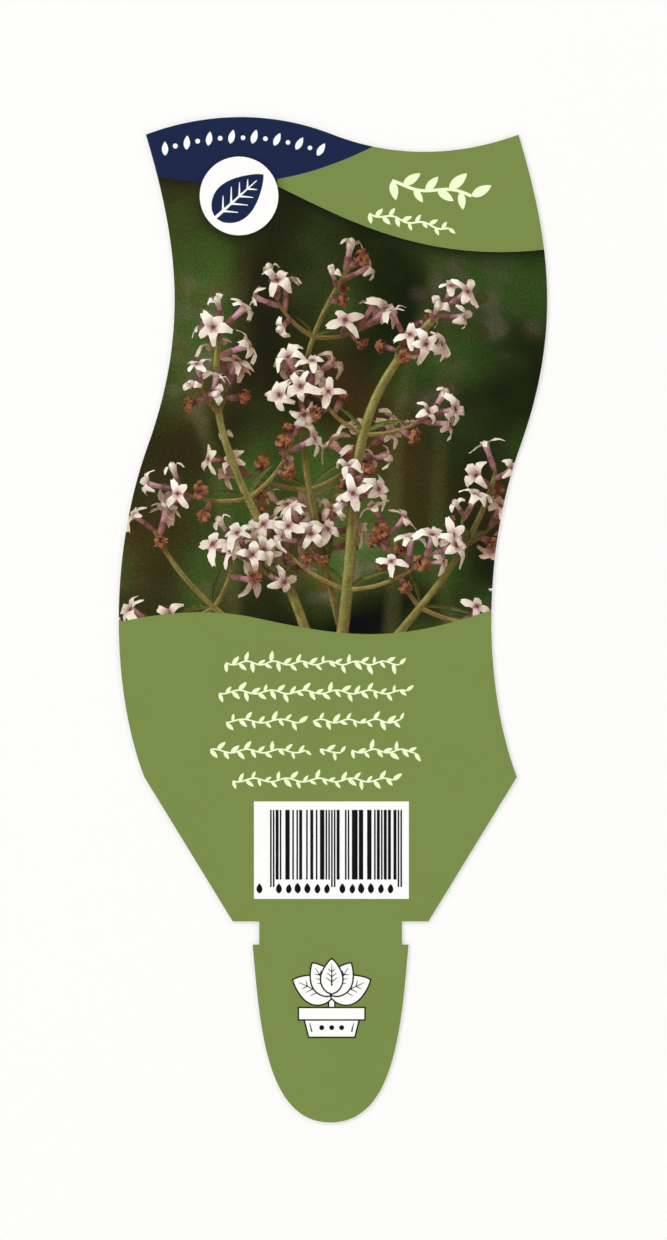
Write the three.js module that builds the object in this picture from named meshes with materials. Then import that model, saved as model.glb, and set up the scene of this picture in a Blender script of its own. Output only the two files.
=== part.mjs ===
// A die-cut plant label: one flat sheet of plastic that stands in the rim of a flower pot.
//
// The body has two parallel wavy sides and a wavy top edge. It tapers to a pair of
// shoulders, and below them a narrow neck carries a rounded tongue. The tongue is pushed
// through a slot in the rim, which then sits in the neck, between the body's shoulders
// and the tongue's.
//
// The label lies on its back: the printed face looks up (+Z) and the tongue points to -Y.
// Lengths are in millimetres. The origin is the middle of the outline's box, on the back.

import * as THREE from "three";

// Widths, across the centre line
const BODY_WIDTH = 71.0; // the same at every height, because both sides are one wave
const SHOULDER_WIDTH = 37.3; // the foot of the body
const NECK_WIDTH = 27.2;
const TONGUE_WIDTH = 29.7; // 1.25 mm wider than the neck on each side, so the rim holds it

// Heights, in the order in which they stack up from the tongue's tip
const TONGUE_LENGTH = 33.9;
const NECK_LENGTH = 4.4; // takes the thickness of the rim
const TAPER_LENGTH = 27.5;
const SIDE_LENGTH = 122.4;

const THICKNESS = 0.5;

// The waves and the tongue's side are cubic curves: [first handle, second handle, end].

// One side, from its lower corner: out to the left at the foot, then out to the right.
const SIDE_WAVE = [
  [[-6.1, 16.0], [-7.1, 41.5], [0.7, 63.2]],
  [[8.8, 85.8], [6.1, 103.0], [0.3, SIDE_LENGTH]],
];

// The top edge, from right to left, above the centre line and the upper corners' level.
const TOP_WAVE = [
  [[27.5, -3.0], [14.7, -5.6], [0.2, 0.1]],
  [[-13.1, 5.3], [-26.1, 3.5], [-BODY_WIDTH / 2 + 0.3, 0]],
];

// The tongue's right side, from the tip up to its shoulder.
const TONGUE_SIDE = [[12.2, 0], [13.5, 18.0], [TONGUE_WIDTH / 2, TONGUE_LENGTH]];

const STEPS_PER_CURVE = 40; // keeps the facets within 0.01 mm of the waves

const PRINTED_PLASTIC = new THREE.MeshStandardMaterial({
  name: "printed_plastic",
  color: 0x7c904e,
  roughness: 0.42,
  metalness: 0,
});

// The same curves walked the other way, which start where the given ones end.
function reversed(start, curves) {
  const ends = [start, ...curves.map((curve) => curve[2])];
  return curves
    .map(([first, second], i) => [second, first, ends[i]])
    .reverse();
}

function drawCurves(shape, curves, x, y) {
  for (const [first, second, end] of curves) {
    shape.bezierCurveTo(
      x + first[0], y + first[1],
      x + second[0], y + second[1],
      x + end[0], y + end[1],
    );
  }
}

// The outline, drawn anticlockwise from the tongue's tip, which is at (0, 0).
function labelOutline() {
  const neckFoot = TONGUE_LENGTH;
  const shoulder = neckFoot + NECK_LENGTH;
  const lowerCorner = shoulder + TAPER_LENGTH;
  const upperCorner = lowerCorner + SIDE_LENGTH;
  const outline = new THREE.Shape();

  outline.moveTo(0, 0);
  drawCurves(outline, [TONGUE_SIDE], 0, 0);
  outline.lineTo(NECK_WIDTH / 2, neckFoot);
  outline.lineTo(NECK_WIDTH / 2, shoulder);
  outline.lineTo(SHOULDER_WIDTH / 2, shoulder);
  outline.lineTo(BODY_WIDTH / 2, lowerCorner);
  drawCurves(outline, SIDE_WAVE, BODY_WIDTH / 2, lowerCorner);

  drawCurves(outline, TOP_WAVE, 0, upperCorner);

  drawCurves(outline, reversed([0, 0], SIDE_WAVE), -BODY_WIDTH / 2, lowerCorner);
  outline.lineTo(-SHOULDER_WIDTH / 2, shoulder);
  outline.lineTo(-NECK_WIDTH / 2, shoulder);
  outline.lineTo(-NECK_WIDTH / 2, neckFoot);
  outline.lineTo(-TONGUE_WIDTH / 2, neckFoot);
  const leftTongueSide = reversed([0, 0], [TONGUE_SIDE])
    .map((curve) => curve.map(([x, y]) => [-x, y]));
  drawCurves(outline, leftTongueSide, 0, 0);
  return outline;
}

// The sheet, with its outline's box centred on the Z axis and its back on Z = 0.
function labelSheet() {
  const geometry = new THREE.ExtrudeGeometry(labelOutline(), {
    depth: THICKNESS,
    bevelEnabled: false,
    curveSegments: STEPS_PER_CURVE,
  });
  geometry.computeBoundingBox();
  const middle = geometry.boundingBox.getCenter(new THREE.Vector3());
  geometry.translate(-middle.x, -middle.y, 0);

  const sheet = new THREE.Mesh(geometry, PRINTED_PLASTIC);
  sheet.name = "label_sheet";
  return sheet;
}

const label = new THREE.Group();
label.add(labelSheet());

export default label;
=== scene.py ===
# %% [markdown]
# # A clip-in plant label of printed plastic
#
# The object is one flat sheet of white plastic, half a millimetre thick. It is die-cut to
# a wavy outline with a tongue that clips into a slot in the rim of a flower pot, and its
# front is printed in five inks and a picture. The CAD frame gives the sheet's outline and
# thickness. This script gives it a rounded cut edge, a print and a satin surface.

# %% Load the frame
import math
import random

import bmesh
import bpy
import numpy as np
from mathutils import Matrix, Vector
from mathutils.geometry import delaunay_2d_cdt


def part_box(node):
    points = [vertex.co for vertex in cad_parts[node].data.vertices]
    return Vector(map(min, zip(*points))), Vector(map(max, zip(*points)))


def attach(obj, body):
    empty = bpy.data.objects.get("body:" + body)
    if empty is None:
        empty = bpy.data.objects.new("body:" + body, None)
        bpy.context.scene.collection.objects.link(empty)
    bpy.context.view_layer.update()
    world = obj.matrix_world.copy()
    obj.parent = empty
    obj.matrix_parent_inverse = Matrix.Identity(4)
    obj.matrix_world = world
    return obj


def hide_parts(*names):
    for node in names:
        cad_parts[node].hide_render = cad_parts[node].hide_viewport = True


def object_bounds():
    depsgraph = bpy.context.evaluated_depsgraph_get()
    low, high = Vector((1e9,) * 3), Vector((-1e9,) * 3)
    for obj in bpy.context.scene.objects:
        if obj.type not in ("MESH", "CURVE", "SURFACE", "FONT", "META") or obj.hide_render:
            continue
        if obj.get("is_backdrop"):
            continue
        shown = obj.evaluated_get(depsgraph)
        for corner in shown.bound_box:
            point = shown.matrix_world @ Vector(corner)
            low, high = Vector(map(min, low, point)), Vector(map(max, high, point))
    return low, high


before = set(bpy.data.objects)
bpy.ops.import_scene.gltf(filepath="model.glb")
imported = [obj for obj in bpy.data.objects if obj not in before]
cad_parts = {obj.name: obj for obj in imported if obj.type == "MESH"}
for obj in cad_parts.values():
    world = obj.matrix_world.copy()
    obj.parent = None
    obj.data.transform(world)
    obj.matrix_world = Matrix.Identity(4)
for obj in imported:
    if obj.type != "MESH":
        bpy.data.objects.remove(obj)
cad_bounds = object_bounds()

low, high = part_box("label_sheet")
MM = 0.001
THICKNESS = (high.z - low.z) / MM
print("sheet", [round(side / MM, 2) for side in high - low], "mm")

# %% [markdown]
# ## Camera
#
# A flat label is looked at from straight above. A long lens far away keeps the view free
# of perspective, so the die-cut edge doesn't lean, and it is still a real camera. The
# sensor's 36 mm lie along the image's long side, so the distance follows from the height
# of table that the image takes in.

# %% Camera
VIEW_LENGTH = 236.22
VIEW_CENTRE = (0.10, -0.05)
SENSOR = 36.0
LENS = 200.0
scene = bpy.context.scene


def add_object(name, data):
    """Puts a new object into the scene."""
    added = bpy.data.objects.new(name, data)
    scene.collection.objects.link(added)
    return added


camera_data = bpy.data.cameras.new("camera")
camera_data.sensor_width = SENSOR
camera_data.lens = LENS
camera = add_object("camera", camera_data)
distance = THICKNESS + VIEW_LENGTH * LENS / SENSOR
camera.location = (VIEW_CENTRE[0] * MM, VIEW_CENTRE[1] * MM, distance * MM)
scene.camera = camera
print("camera", round(distance), "mm above the table")

# %% [markdown]
# ## Node trees written as Python
#
# Shader and geometry trees are made of the same parts, so one small class serves both. A
# `Wire` is one output of a node, and arithmetic on wires adds Math nodes. Python tries the
# reflected method of an operator when a plain number stands on its left.

# %% Wires
def by_operator(operation, reflected=False):
    """The method behind one of Python's operators: it adds that Math node."""
    def method(wire, value):
        values = (value, wire) if reflected else (wire, value)
        return add_maths(wire.tree, operation, *values)
    return method


class Wire:
    """One output of a node, which Python's arithmetic turns into Math nodes."""

    def __init__(self, socket):
        self.socket = socket
        self.tree = socket.id_data

    def other(self, name):
        """Another output of the same node."""
        return Wire(open_socket(self.socket.node.outputs, name))

    def apply(self, operation):
        """A Math node that works on this wire alone, such as a sine."""
        return add_maths(self.tree, operation, self)

    __add__ = by_operator("ADD")
    __radd__ = by_operator("ADD", reflected=True)
    __sub__ = by_operator("SUBTRACT")
    __rsub__ = by_operator("SUBTRACT", reflected=True)
    __mul__ = by_operator("MULTIPLY")
    __rmul__ = by_operator("MULTIPLY", reflected=True)
    __truediv__ = by_operator("DIVIDE")
    __mod__ = by_operator("MODULO")
    __gt__ = by_operator("GREATER_THAN")
    __lt__ = by_operator("LESS_THAN")


# %% [markdown]
# `add_node` adds any other node: first its settings, because they decide which sockets are
# open, then the numbers or wires of its sockets. A list of wires goes into one socket that
# takes several.

# %% Nodes
def open_socket(sockets, key):
    """The socket of that name or number, among those that the node's settings leave open."""
    opened = [socket for socket in sockets if socket.enabled]
    if isinstance(key, int):
        return opened[key]
    return next(socket for socket in opened if socket.name == key)


def set_stops(ramp, stops):
    while len(ramp.elements) < len(stops):
        ramp.elements.new(1.0)
    for element, (position, colour) in zip(ramp.elements, stops):
        element.position = position
        element.color = (*colour, 1.0)


def add_node(tree, kind, settings=None, values=None, output=0):
    """Adds a node and gives back one of its outputs."""
    node = tree.nodes.new(kind)
    for name, setting in (settings or {}).items():
        if name == "stops":
            set_stops(node.color_ramp, setting)
        else:
            setattr(node, name, setting)
    for key, value in (values or {}).items():
        socket = open_socket(node.inputs, key)
        for single in value if isinstance(value, list) else [value]:
            if isinstance(single, Wire):
                tree.links.new(single.socket, socket)
            else:
                socket.default_value = single
    return Wire(open_socket(node.outputs, output))


def add_maths(tree, operation, *values):
    return add_node(tree, "ShaderNodeMath", {"operation": operation}, dict(enumerate(values)))


def plug(wire, node, name):
    wire.tree.links.new(wire.socket, node.inputs[name])


# %% [markdown]
# ## Studio
#
# A print shows its inks best in even light from the sides. Its gloss would throw light from
# straight above back into the lens and veil the dark inks. So the sky here has a bright
# band half way up, is dim overhead and no more than white at the horizon, where it is
# mirrored when the sheet is seen at a low angle. One wide, weak lamp from the upper left
# gives the cut edge its slight shadow.

# %% Studio
SKY_LOW = 1.0
SKY_BAND = 2.96
SKY_OVERHEAD = 0.10
BAND_START = (0.40, 0.60)
BAND_END = (0.58, 0.82)
KEY_POWER = 18.0
KEY_SIZE = 1.8
KEY_PLACE = (-1.9, 1.5, 2.1)


def fade(tree, value, start, end):
    """Goes smoothly from 0, where the value is at `start`, to 1 at `end`."""
    return add_node(
        tree, "ShaderNodeMapRange", {"interpolation_type": "SMOOTHSTEP"},
        {"Value": value, "From Min": start, "From Max": end},
    )


scene.view_settings.view_transform = "Standard"
world = bpy.data.worlds.new("studio")
scene.world = world
world.use_nodes = True
sky = world.node_tree
sky.nodes.clear()
direction = add_node(sky, "ShaderNodeTexCoord", output="Generated")
rise = add_node(sky, "ShaderNodeSeparateXYZ", values={0: direction}, output="Z")
strength = (
    SKY_LOW
    + fade(sky, rise, *BAND_START) * (SKY_BAND - SKY_LOW)
    + fade(sky, rise, *BAND_END) * (SKY_OVERHEAD - SKY_BAND)
)
white_glow = {"Color": (1.0, 1.0, 1.0, 1.0), "Strength": strength}
plug(
    add_node(sky, "ShaderNodeBackground", values=white_glow),
    sky.nodes.new("ShaderNodeOutputWorld"), "Surface",
)

lamp = bpy.data.lights.new("side panel", "AREA")
lamp.shape = "DISK"
lamp.size = KEY_SIZE
lamp.energy = KEY_POWER
lamp_object = add_object("side panel", lamp)
lamp_object.location = KEY_PLACE
lamp_object.rotation_euler = (-lamp_object.location).to_track_quat("-Z", "Y").to_euler()
print("lamp", round(lamp_object.location.length, 2), "m away,", KEY_POWER, "W")

# %% [markdown]
# ## Table
#
# The table only has to be there: a wide square of matt board, nearly white, with a little
# unevenness.

# %% Table
TABLE_HALF = 6.0
TABLE_DROP = 0.00002
BOARD_TONES = ((0.880, 0.873, 0.858), (0.886, 0.880, 0.865))
BOARD_SCALE = 3.0
BOARD_ROUGHNESS = 0.9


def new_material(name):
    """A material with a bare surface shader, the tree it is in, and the object's coordinates."""
    material = bpy.data.materials.new(name)
    material.use_nodes = True
    tree = material.node_tree
    place = add_node(tree, "ShaderNodeTexCoord", output="Object")
    return material, tree, tree.nodes["Principled BSDF"], place


def noise(tree, place, scale, detail=2.0, roughness=0.5):
    values = {"Vector": place, "Scale": scale, "Detail": detail, "Roughness": roughness}
    return add_node(tree, "ShaderNodeTexNoise", values=values)


def blend(tree, factor, under, over):
    """Mixes two colours, each of them a wire or three numbers."""
    values = {"Factor": factor}
    for name, colour in (("A", under), ("B", over)):
        values[name] = colour if isinstance(colour, Wire) else (*colour, 1.0)
    return add_node(tree, "ShaderNodeMix", {"data_type": "RGBA"}, values)


def table_material():
    material, tree, shader, place = new_material("matt board")
    plug(blend(tree, noise(tree, place, BOARD_SCALE), *BOARD_TONES), shader, "Base Color")
    shader.inputs["Roughness"].default_value = BOARD_ROUGHNESS
    shader.inputs["Specular IOR Level"].default_value = 0.0
    return material


corners = [(-1, -1), (1, -1), (1, 1), (-1, 1)]
board = [(x * TABLE_HALF, y * TABLE_HALF, -TABLE_DROP) for x, y in corners]
table_mesh = bpy.data.meshes.new("table")
table_mesh.from_pydata(board, [], [range(4)])
table_mesh.materials.append(table_material())
table = add_object("table", table_mesh)
table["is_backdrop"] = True
print("table", 2 * TABLE_HALF, "m wide")

# %% [markdown]
# ## Inks
#
# Offset ink on plastic is a thin even film. It varies by a few hundredths in density, and
# the clear coat over it has a fine orange peel, so each ink has a mottle in its colour,
# some variation in its roughness and a small bump. The inks also read an attribute called
# `overprint`: a colour with its cover, for soft printed shadows and for the picture.
#
# Colours are given as the 0 to 255 values of a proof. The studio lights a base colour up a
# little and the coat's gloss veils it, so `printed` takes both off again.

# %% Ink recipe
STUDIO_GAIN = 1.099
GLOSS_VEIL = 0.0064


def linear(*proof):
    """A proof colour made a linear one."""
    return tuple(
        value / 12.92 if value <= 0.04045 else ((value + 0.055) / 1.055) ** 2.4
        for value in (level / 255 for level in proof)
    )


def printed(*proof):
    """The base colour that looks like this proof colour in the studio, through the coat's gloss."""
    return tuple(max(0.0, (value - GLOSS_VEIL) / STUDIO_GAIN) for value in linear(*proof))


INK_COLOURS = {
    "green ink": printed(123, 142, 76),
    "navy ink": printed(32, 43, 75),
    "cream ink": printed(246, 254, 210),
    "white ink": printed(254, 253, 251),
    "black ink": printed(25, 24, 25),
}
MOTTLE_SCALE = 1600.0
PATCH_SCALE = 70.0
DENSITY_SWING = 0.035
PEEL_SCALE = 900.0
GRAIN_SCALE = 7000.0
PEEL_STRENGTH = 0.12
PEEL_DEPTH = 0.00004
DRIFT_SCALE = 60.0
COAT_ROUGHNESS = 0.31
COAT_SHINE = 0.26


def add_bump(shader, height, strength, distance):
    values = {"Height": height, "Strength": strength, "Distance": distance}
    bump = add_node(height.tree, "ShaderNodeBump", values=values, output="Normal")
    plug(bump, shader, "Normal")


def satin(tree, shader, place):
    """The clear coat's skin: orange peel, a finer grain, and roughness that drifts."""
    peel = noise(tree, place, PEEL_SCALE, 1.0)
    grain = noise(tree, place, GRAIN_SCALE, 2.0)
    add_bump(shader, peel * 0.7 + grain * 0.3, PEEL_STRENGTH, PEEL_DEPTH)
    drift = noise(tree, place, DRIFT_SCALE)
    plug(COAT_ROUGHNESS + drift * 0.08 + grain * 0.02, shader, "Roughness")
    shader.inputs["Specular IOR Level"].default_value = COAT_SHINE


def vector_maths(tree, operation, values):
    return add_node(tree, "ShaderNodeVectorMath", {"operation": operation}, values)


def lay_over(tree, under):
    """The overprint attribute laid over a colour: its own colour is already times its cover."""
    over = add_node(tree, "ShaderNodeAttribute", {"attribute_name": "overprint"}, output="Color")
    bare = 1 - over.other("Alpha")
    seen = vector_maths(tree, "SCALE", {"Vector": under, "Scale": bare})
    return vector_maths(tree, "ADD", {0: seen, 1: over})


def ink_material(name, colour):
    material, tree, shader, place = new_material(name)
    mottle = noise(tree, place, MOTTLE_SCALE, 3.0) * 0.6 + noise(tree, place, PATCH_SCALE, 1.0) * 0.4
    dense = [value * (1 - DENSITY_SWING) for value in colour]
    thin = [min(1.0, value * (1 + DENSITY_SWING)) for value in colour]
    plug(lay_over(tree, blend(tree, mottle, dense, thin)), shader, "Base Color")
    satin(tree, shader, place)
    return material


materials = {name: ink_material(name, colour) for name, colour in INK_COLOURS.items()}
print("inks", sorted(materials))

# %% [markdown]
# ## The picture's ground
#
# It is out of focus: dark leaves with some warm brown, the haze of a few stems, and here
# and there a far blossom that is only a soft spot. Slow noise through a colour ramp gives
# the leaves. A stem's haze is an expression: how far each spot lies from a slanting line
# that sways a little. Smooth Voronoi cells give the spots, and another slow noise keeps
# them in sprays. It is warmer on the left and darker on the right. The grain over all of
# it is that of a printed screen, which is least where the print is light.

# %% Picture ground
FOLIAGE_SCALE = 42.0
FOLIAGE = [
    (0.37, printed(18, 18, 9)), (0.45, printed(35, 41, 18)), (0.51, printed(51, 59, 28)),
    (0.57, printed(57, 81, 33)), (0.65, printed(70, 98, 42)),
]
EARTH = printed(76, 56, 30)
EARTH_SCALE = 27.0
HAZE = printed(104, 106, 58)
HAZY_STEMS = [(-19.0, -0.20, 0.0), (9.0, 0.16, 2.0), (24.0, -0.10, 4.0)]
HAZE_WIDTH = 2.6
FAR_PALE = printed(136, 116, 102)
FAR_BROWN = printed(108, 70, 46)
SPOT_SCALE = 260.0
SPRAY_SCALE = 48.0
WANDER_SCALE = 30.0
WANDER_REACH = (0.012, 0.012, 0.012)
WARM_SIDE = printed(62, 56, 29)
DARK_SIDE = printed(27, 38, 17)
SCREEN_SCALE = 2300.0
SCREEN_STRENGTH = 2.4


def leafy_ground(tree, drift):
    """Leaves in five greens, with brown earth between them."""
    leaves = noise(tree, drift, FOLIAGE_SCALE, 2.0, 0.35)
    foliage = add_node(tree, "ShaderNodeValToRGB", {"stops": FOLIAGE}, {0: leaves})
    earth = fade(tree, noise(tree, drift, EARTH_SCALE, 1.0, 0.4), 0.52, 0.68)
    return blend(tree, earth * 0.7, foliage, EARTH)


def with_far_spots(tree, drift, ground):
    """Soft spots of far blossoms over the ground."""
    cells = add_node(
        tree, "ShaderNodeTexVoronoi", {"feature": "SMOOTH_F1"},
        {"Vector": drift, "Scale": SPOT_SCALE}, output="Distance",
    )
    sprays = fade(tree, noise(tree, drift, SPRAY_SCALE, 1.0), 0.54, 0.66)
    tones = add_node(tree, "ShaderNodeSeparateColor", values={0: cells.other("Color")}, output="Red")
    far = blend(tree, fade(tree, tones, 0.35, 0.65), FAR_PALE, FAR_BROWN)
    return blend(tree, fade(tree, cells, 0.64, 0.16) * sprays * 0.5, ground, far)


def picture_material():
    material, tree, shader, place = new_material("picture inks")
    wander = noise(tree, place, WANDER_SCALE, 2.0, 0.4).other("Color")
    drift = vector_maths(tree, "MULTIPLY_ADD", {0: wander, 1: WANDER_REACH, 2: place})
    ground = leafy_ground(tree, drift)
    across = add_node(tree, "ShaderNodeSeparateXYZ", values={0: place}, output="X")
    x = across / MM
    y = across.other("Y") / MM
    for foot, lean, phase in HAZY_STEMS:
        sway = (y / 15 + phase).apply("SINE") * 2.5
        off_line = (x - foot - y * lean - sway).apply("ABSOLUTE")
        ground = blend(tree, fade(tree, off_line, HAZE_WIDTH, 0.3) * 0.3, ground, HAZE)
    ground = with_far_spots(tree, drift, ground)
    ground = blend(tree, fade(tree, x, 2.0, -36.0) * 0.35, ground, WARM_SIDE)
    ground = blend(tree, fade(tree, x + y * 0.15, 2.0, 32.0) * 0.55, ground, DARK_SIDE)
    laid = lay_over(tree, ground)
    light = add_node(tree, "ShaderNodeSeparateColor", values={0: laid}, output="Green")
    screen = noise(tree, place, SCREEN_SCALE, 3.0, 0.75) - 0.5
    grain = screen * SCREEN_STRENGTH * (1 - light) * (1 - light) + 1
    plug(vector_maths(tree, "SCALE", {"Vector": laid, "Scale": grain}), shader, "Base Color")
    satin(tree, shader, place)
    print("picture ground", len(tree.nodes), "nodes")
    return material


materials["picture inks"] = picture_material()

# %% [markdown]
# ## Bare plastic
#
# Edge and back are the bare sheet: white plastic with a faint grain from the rollers that
# pressed it, drawn out along the sheet.

# %% Bare plastic
STREAK_SCALE = 1500.0
STREAK_STRETCH = (1.0, 0.08, 1.0)
STREAK_STRENGTH = 0.2
STREAK_DEPTH = 0.00003
PLASTIC_ROUGHNESS = 0.5
PLASTIC_SHINE = 0.4
PLASTIC_TONES = ((0.80, 0.80, 0.785), (0.86, 0.86, 0.85))


def plastic_material():
    material, tree, shader, place = new_material("white plastic")
    along = add_node(tree, "ShaderNodeMapping", values={"Vector": place, "Scale": STREAK_STRETCH})
    streaks = noise(tree, along, STREAK_SCALE, 3.0)
    plug(blend(tree, streaks, *PLASTIC_TONES), shader, "Base Color")
    add_bump(shader, streaks, STREAK_STRENGTH, STREAK_DEPTH)
    plug(PLASTIC_ROUGHNESS + streaks * 0.12, shader, "Roughness")
    shader.inputs["Specular IOR Level"].default_value = PLASTIC_SHINE
    return material


materials["white plastic"] = plastic_material()
print("materials", len(materials))

# %% [markdown]
# ## The print as a pile of shapes
#
# A print is a map: every spot on the sheet shows the last ink laid there. So each shape of
# the print goes into one pile with a height, in millimetres on the sheet. Later the pile
# is pressed flat: all edges are cut into one flat mesh of triangles, and each triangle
# takes the ink of the highest shape over it. That keeps every printed edge sharp at any
# distance, which a picture file would not.
#
# A face of the pile holds, beside its ink, five values that may change evenly over it:
# its height, three colours and the cover. Cover is only used by the overprint. Every face
# runs anticlockwise, because the cutting later takes what lies left of its edges.

# %% The pile
SLIVER = 0.002
NO_OVERPRINT = (0, 0, 0, 0)


def with_ones(spots):
    """Flat points as (1, x, y), the form in which a face's evenly changing values are kept."""
    return np.concatenate([np.ones((*spots.shape[:-1], 1)), spots], -1)


class Pile:
    """The shapes of the print, each with its ink and its evenly changing values."""

    def __init__(self):
        self.points = []
        self.faces = []
        self.inks = []
        self.fields = []

    def add_area(self, outline, ink, height):
        """A flat shape with one ink, given by its outline."""
        start = len(self.points)
        x, y = np.array(outline).T
        clockwise = (x * np.roll(y, -1) - np.roll(x, -1) * y).sum() < 0
        self.points.extend(outline[::-1] if clockwise else outline)
        self.faces.append(list(range(start, start + len(outline))))
        self.inks.append(ink)
        self.fields.append(np.array([[height, *NO_OVERPRINT], [0] * 5, [0] * 5], float))

    def add_triangles(self, points, triangles, ink, values):
        """Triangles with a height and an overprint at each point. Slivers are left out."""
        start = len(self.points)
        self.points.extend(map(tuple, points[:, :2]))
        spots = with_ones(points[:, :2])
        for triangle in triangles:
            size = np.linalg.det(spots[triangle])
            if abs(size) < SLIVER:
                continue
            triangle = triangle if size > 0 else triangle[::-1]
            self.faces.append([start + int(corner) for corner in triangle])
            self.inks.append(ink)
            self.fields.append(np.linalg.solve(spots[triangle], values[triangle]))


pile = Pile()

# %% [markdown]
# ## The sheet's outline
#
# The outline is read from the CAD node, so print and sheet can't disagree. A die presses
# the upper edge down a little before it cuts, so the level face stops short of the cut by
# the width of that rolled edge.

# %% Outline of the sheet
ROLL = 0.08
WELD = 1e-6
FACES_UP = 0.9


def rim_of(mesh):
    """The rim of a mesh's upward face, anticlockwise, as points in millimetres."""
    sheet = bmesh.new()
    sheet.from_mesh(mesh)
    bmesh.ops.remove_doubles(sheet, verts=sheet.verts, dist=WELD)
    following = {}
    for face in sheet.faces:
        if face.normal.z < FACES_UP:
            continue
        for corner in face.loops:
            if any(other.normal.z < FACES_UP for other in corner.edge.link_faces):
                following[corner.vert] = corner.link_loop_next.vert
    first = next(iter(following))
    rim = [first]
    while following[rim[-1]] is not first:
        rim.append(following[rim[-1]])
    points = np.array([vert.co.xy for vert in rim]) / MM
    sheet.free()
    return points


def offset_loop(loop, distance):
    """Moves a closed anticlockwise loop outwards, with its corners kept sharp."""
    before = loop - np.roll(loop, 1, 0)
    after = np.roll(loop, -1, 0) - loop
    normals = []
    for run in (before, after):
        run = run / np.linalg.norm(run, axis=1, keepdims=True)
        normals.append(np.stack([run[:, 1], -run[:, 0]], 1))
    mitre = normals[0] + normals[1]
    mitre /= (mitre * normals[0]).sum(1, keepdims=True)
    return loop + mitre * distance


sheet_rim = rim_of(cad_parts["label_sheet"].data)
print_rim = offset_loop(sheet_rim, -ROLL)
print("rim", len(sheet_rim), "points")

# %% [markdown]
# ## Grounds: picture, green and navy
#
# The picture lies under everything. Green covers it below one wavy line and above another,
# and a navy corner lies over that. The lines are chains of cubic curves, each given by its
# ends and two handles, in millimetres from the middle of the sheet. Past the sheet's edge
# a ground may end anywhere, because only what lies on the sheet is printed.

# %% Wavy grounds
PAST_EDGE = 45.0
PAST_TOP = 100.0
PAST_TIP = -100.0
HEIGHT_PICTURE = -1000.0
HEIGHT_SHADE = 90.0
HEIGHT_GREEN = 100.0
HEIGHT_NAVY = 101.0
HEIGHT_ROUND_SHADE = 102.0
HEIGHT_ROUND = 103.0
HEIGHT_MARK = 110.0

FOOT_WAVE = [
    [(-41.0, -0.5), (-33.1, 1.3), (-23.5, 2.3), (-15.0, 0.4)],
    [(-15.0, 0.4), (1.9, -3.2), (11.5, -5.0), (31.0, 2.2)],
]
FOOT_RUN_OUT = (-0.9, 7.6)
BAND_WAVE = [[(-10.6, 82.6), (2.1, 76.5), (17.3, 67.7), (41.0, 70.6)]]
BAND_RUN_OUT = 71.2
NAVY_WAVE = [[(-33.6, 84.45), (-18.3, 81.8), (-6.7, 83.0), (8.0, 90.3)]]
NAVY_RUN_OUT = (86.6, 95.2)
NAVY_RIGHT = 16.0


def wave(curves, steps=24):
    """Points along a chain of cubic curves."""
    points = []
    for curve in curves:
        for step in range(steps + 1):
            t = step / steps
            weights = ((1 - t) ** 3, 3 * (1 - t) ** 2 * t, 3 * (1 - t) * t ** 2, t ** 3)
            spot = tuple(
                sum(weight * point[axis] for weight, point in zip(weights, curve)) for axis in (0, 1)
            )
            if not points or spot != points[-1]:
                points.append(spot)
    return points


foot_wave = wave(FOOT_WAVE)
band_wave = wave(BAND_WAVE)
navy_wave = wave(NAVY_WAVE)
below_foot = [
    (-PAST_EDGE, FOOT_RUN_OUT[0]), *foot_wave, (PAST_EDGE, FOOT_RUN_OUT[1]),
    (PAST_EDGE, PAST_TIP), (-PAST_EDGE, PAST_TIP),
]
above_band = [
    *band_wave, (PAST_EDGE, BAND_RUN_OUT), (PAST_EDGE, PAST_TOP), (BAND_WAVE[0][0][0], PAST_TOP),
]
navy_corner = [
    (-PAST_EDGE, NAVY_RUN_OUT[0]), *navy_wave, (NAVY_RIGHT, NAVY_RUN_OUT[1]),
    (NAVY_RIGHT, PAST_TOP), (-PAST_EDGE, PAST_TOP),
]
pile.add_area(print_rim, "picture inks", HEIGHT_PICTURE)
pile.add_area(below_foot, "green ink", HEIGHT_GREEN)
pile.add_area(above_band, "green ink", HEIGHT_GREEN)
pile.add_area(navy_corner, "navy ink", HEIGHT_NAVY)
print("grounds", len(pile.faces))

# %% [markdown]
# ## Roundel and printed shades
#
# The white roundel bridges navy, green and picture. The print makes it look raised by a
# soft dark shade round it, and the green and navy grounds throw the same kind of shade on
# the picture. Each shade is a strip whose cover fades to nothing. A ground's shade is given
# by its reach and its strongest cover.

# %% Roundel and printed shades
ROUND_CENTRE = (-17.90, 80.74)
ROUND_RADIUS = 7.49
ROUND_SHADE_REACH = 2.6
ROUND_SHADE_INSET = 0.5
ROUND_SHADE_SHIFT = (0.25, -0.7)
ROUND_SHADE_COVER = 0.72
SHADE_INK = linear(9, 11, 5)
SHADE_STEPS = 6
SHADE_SLANT = 0.12
BAND_SHADE = (4.2, 0.88)
NAVY_SHADE = (2.4, 0.6)
NAVY_OVER_PICTURE = 16


def circle(centre, radius, sides):
    turns = [2 * math.pi * side / sides for side in range(sides)]
    return [(centre[0] + radius * math.cos(turn), centre[1] + radius * math.sin(turn)) for turn in turns]


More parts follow.
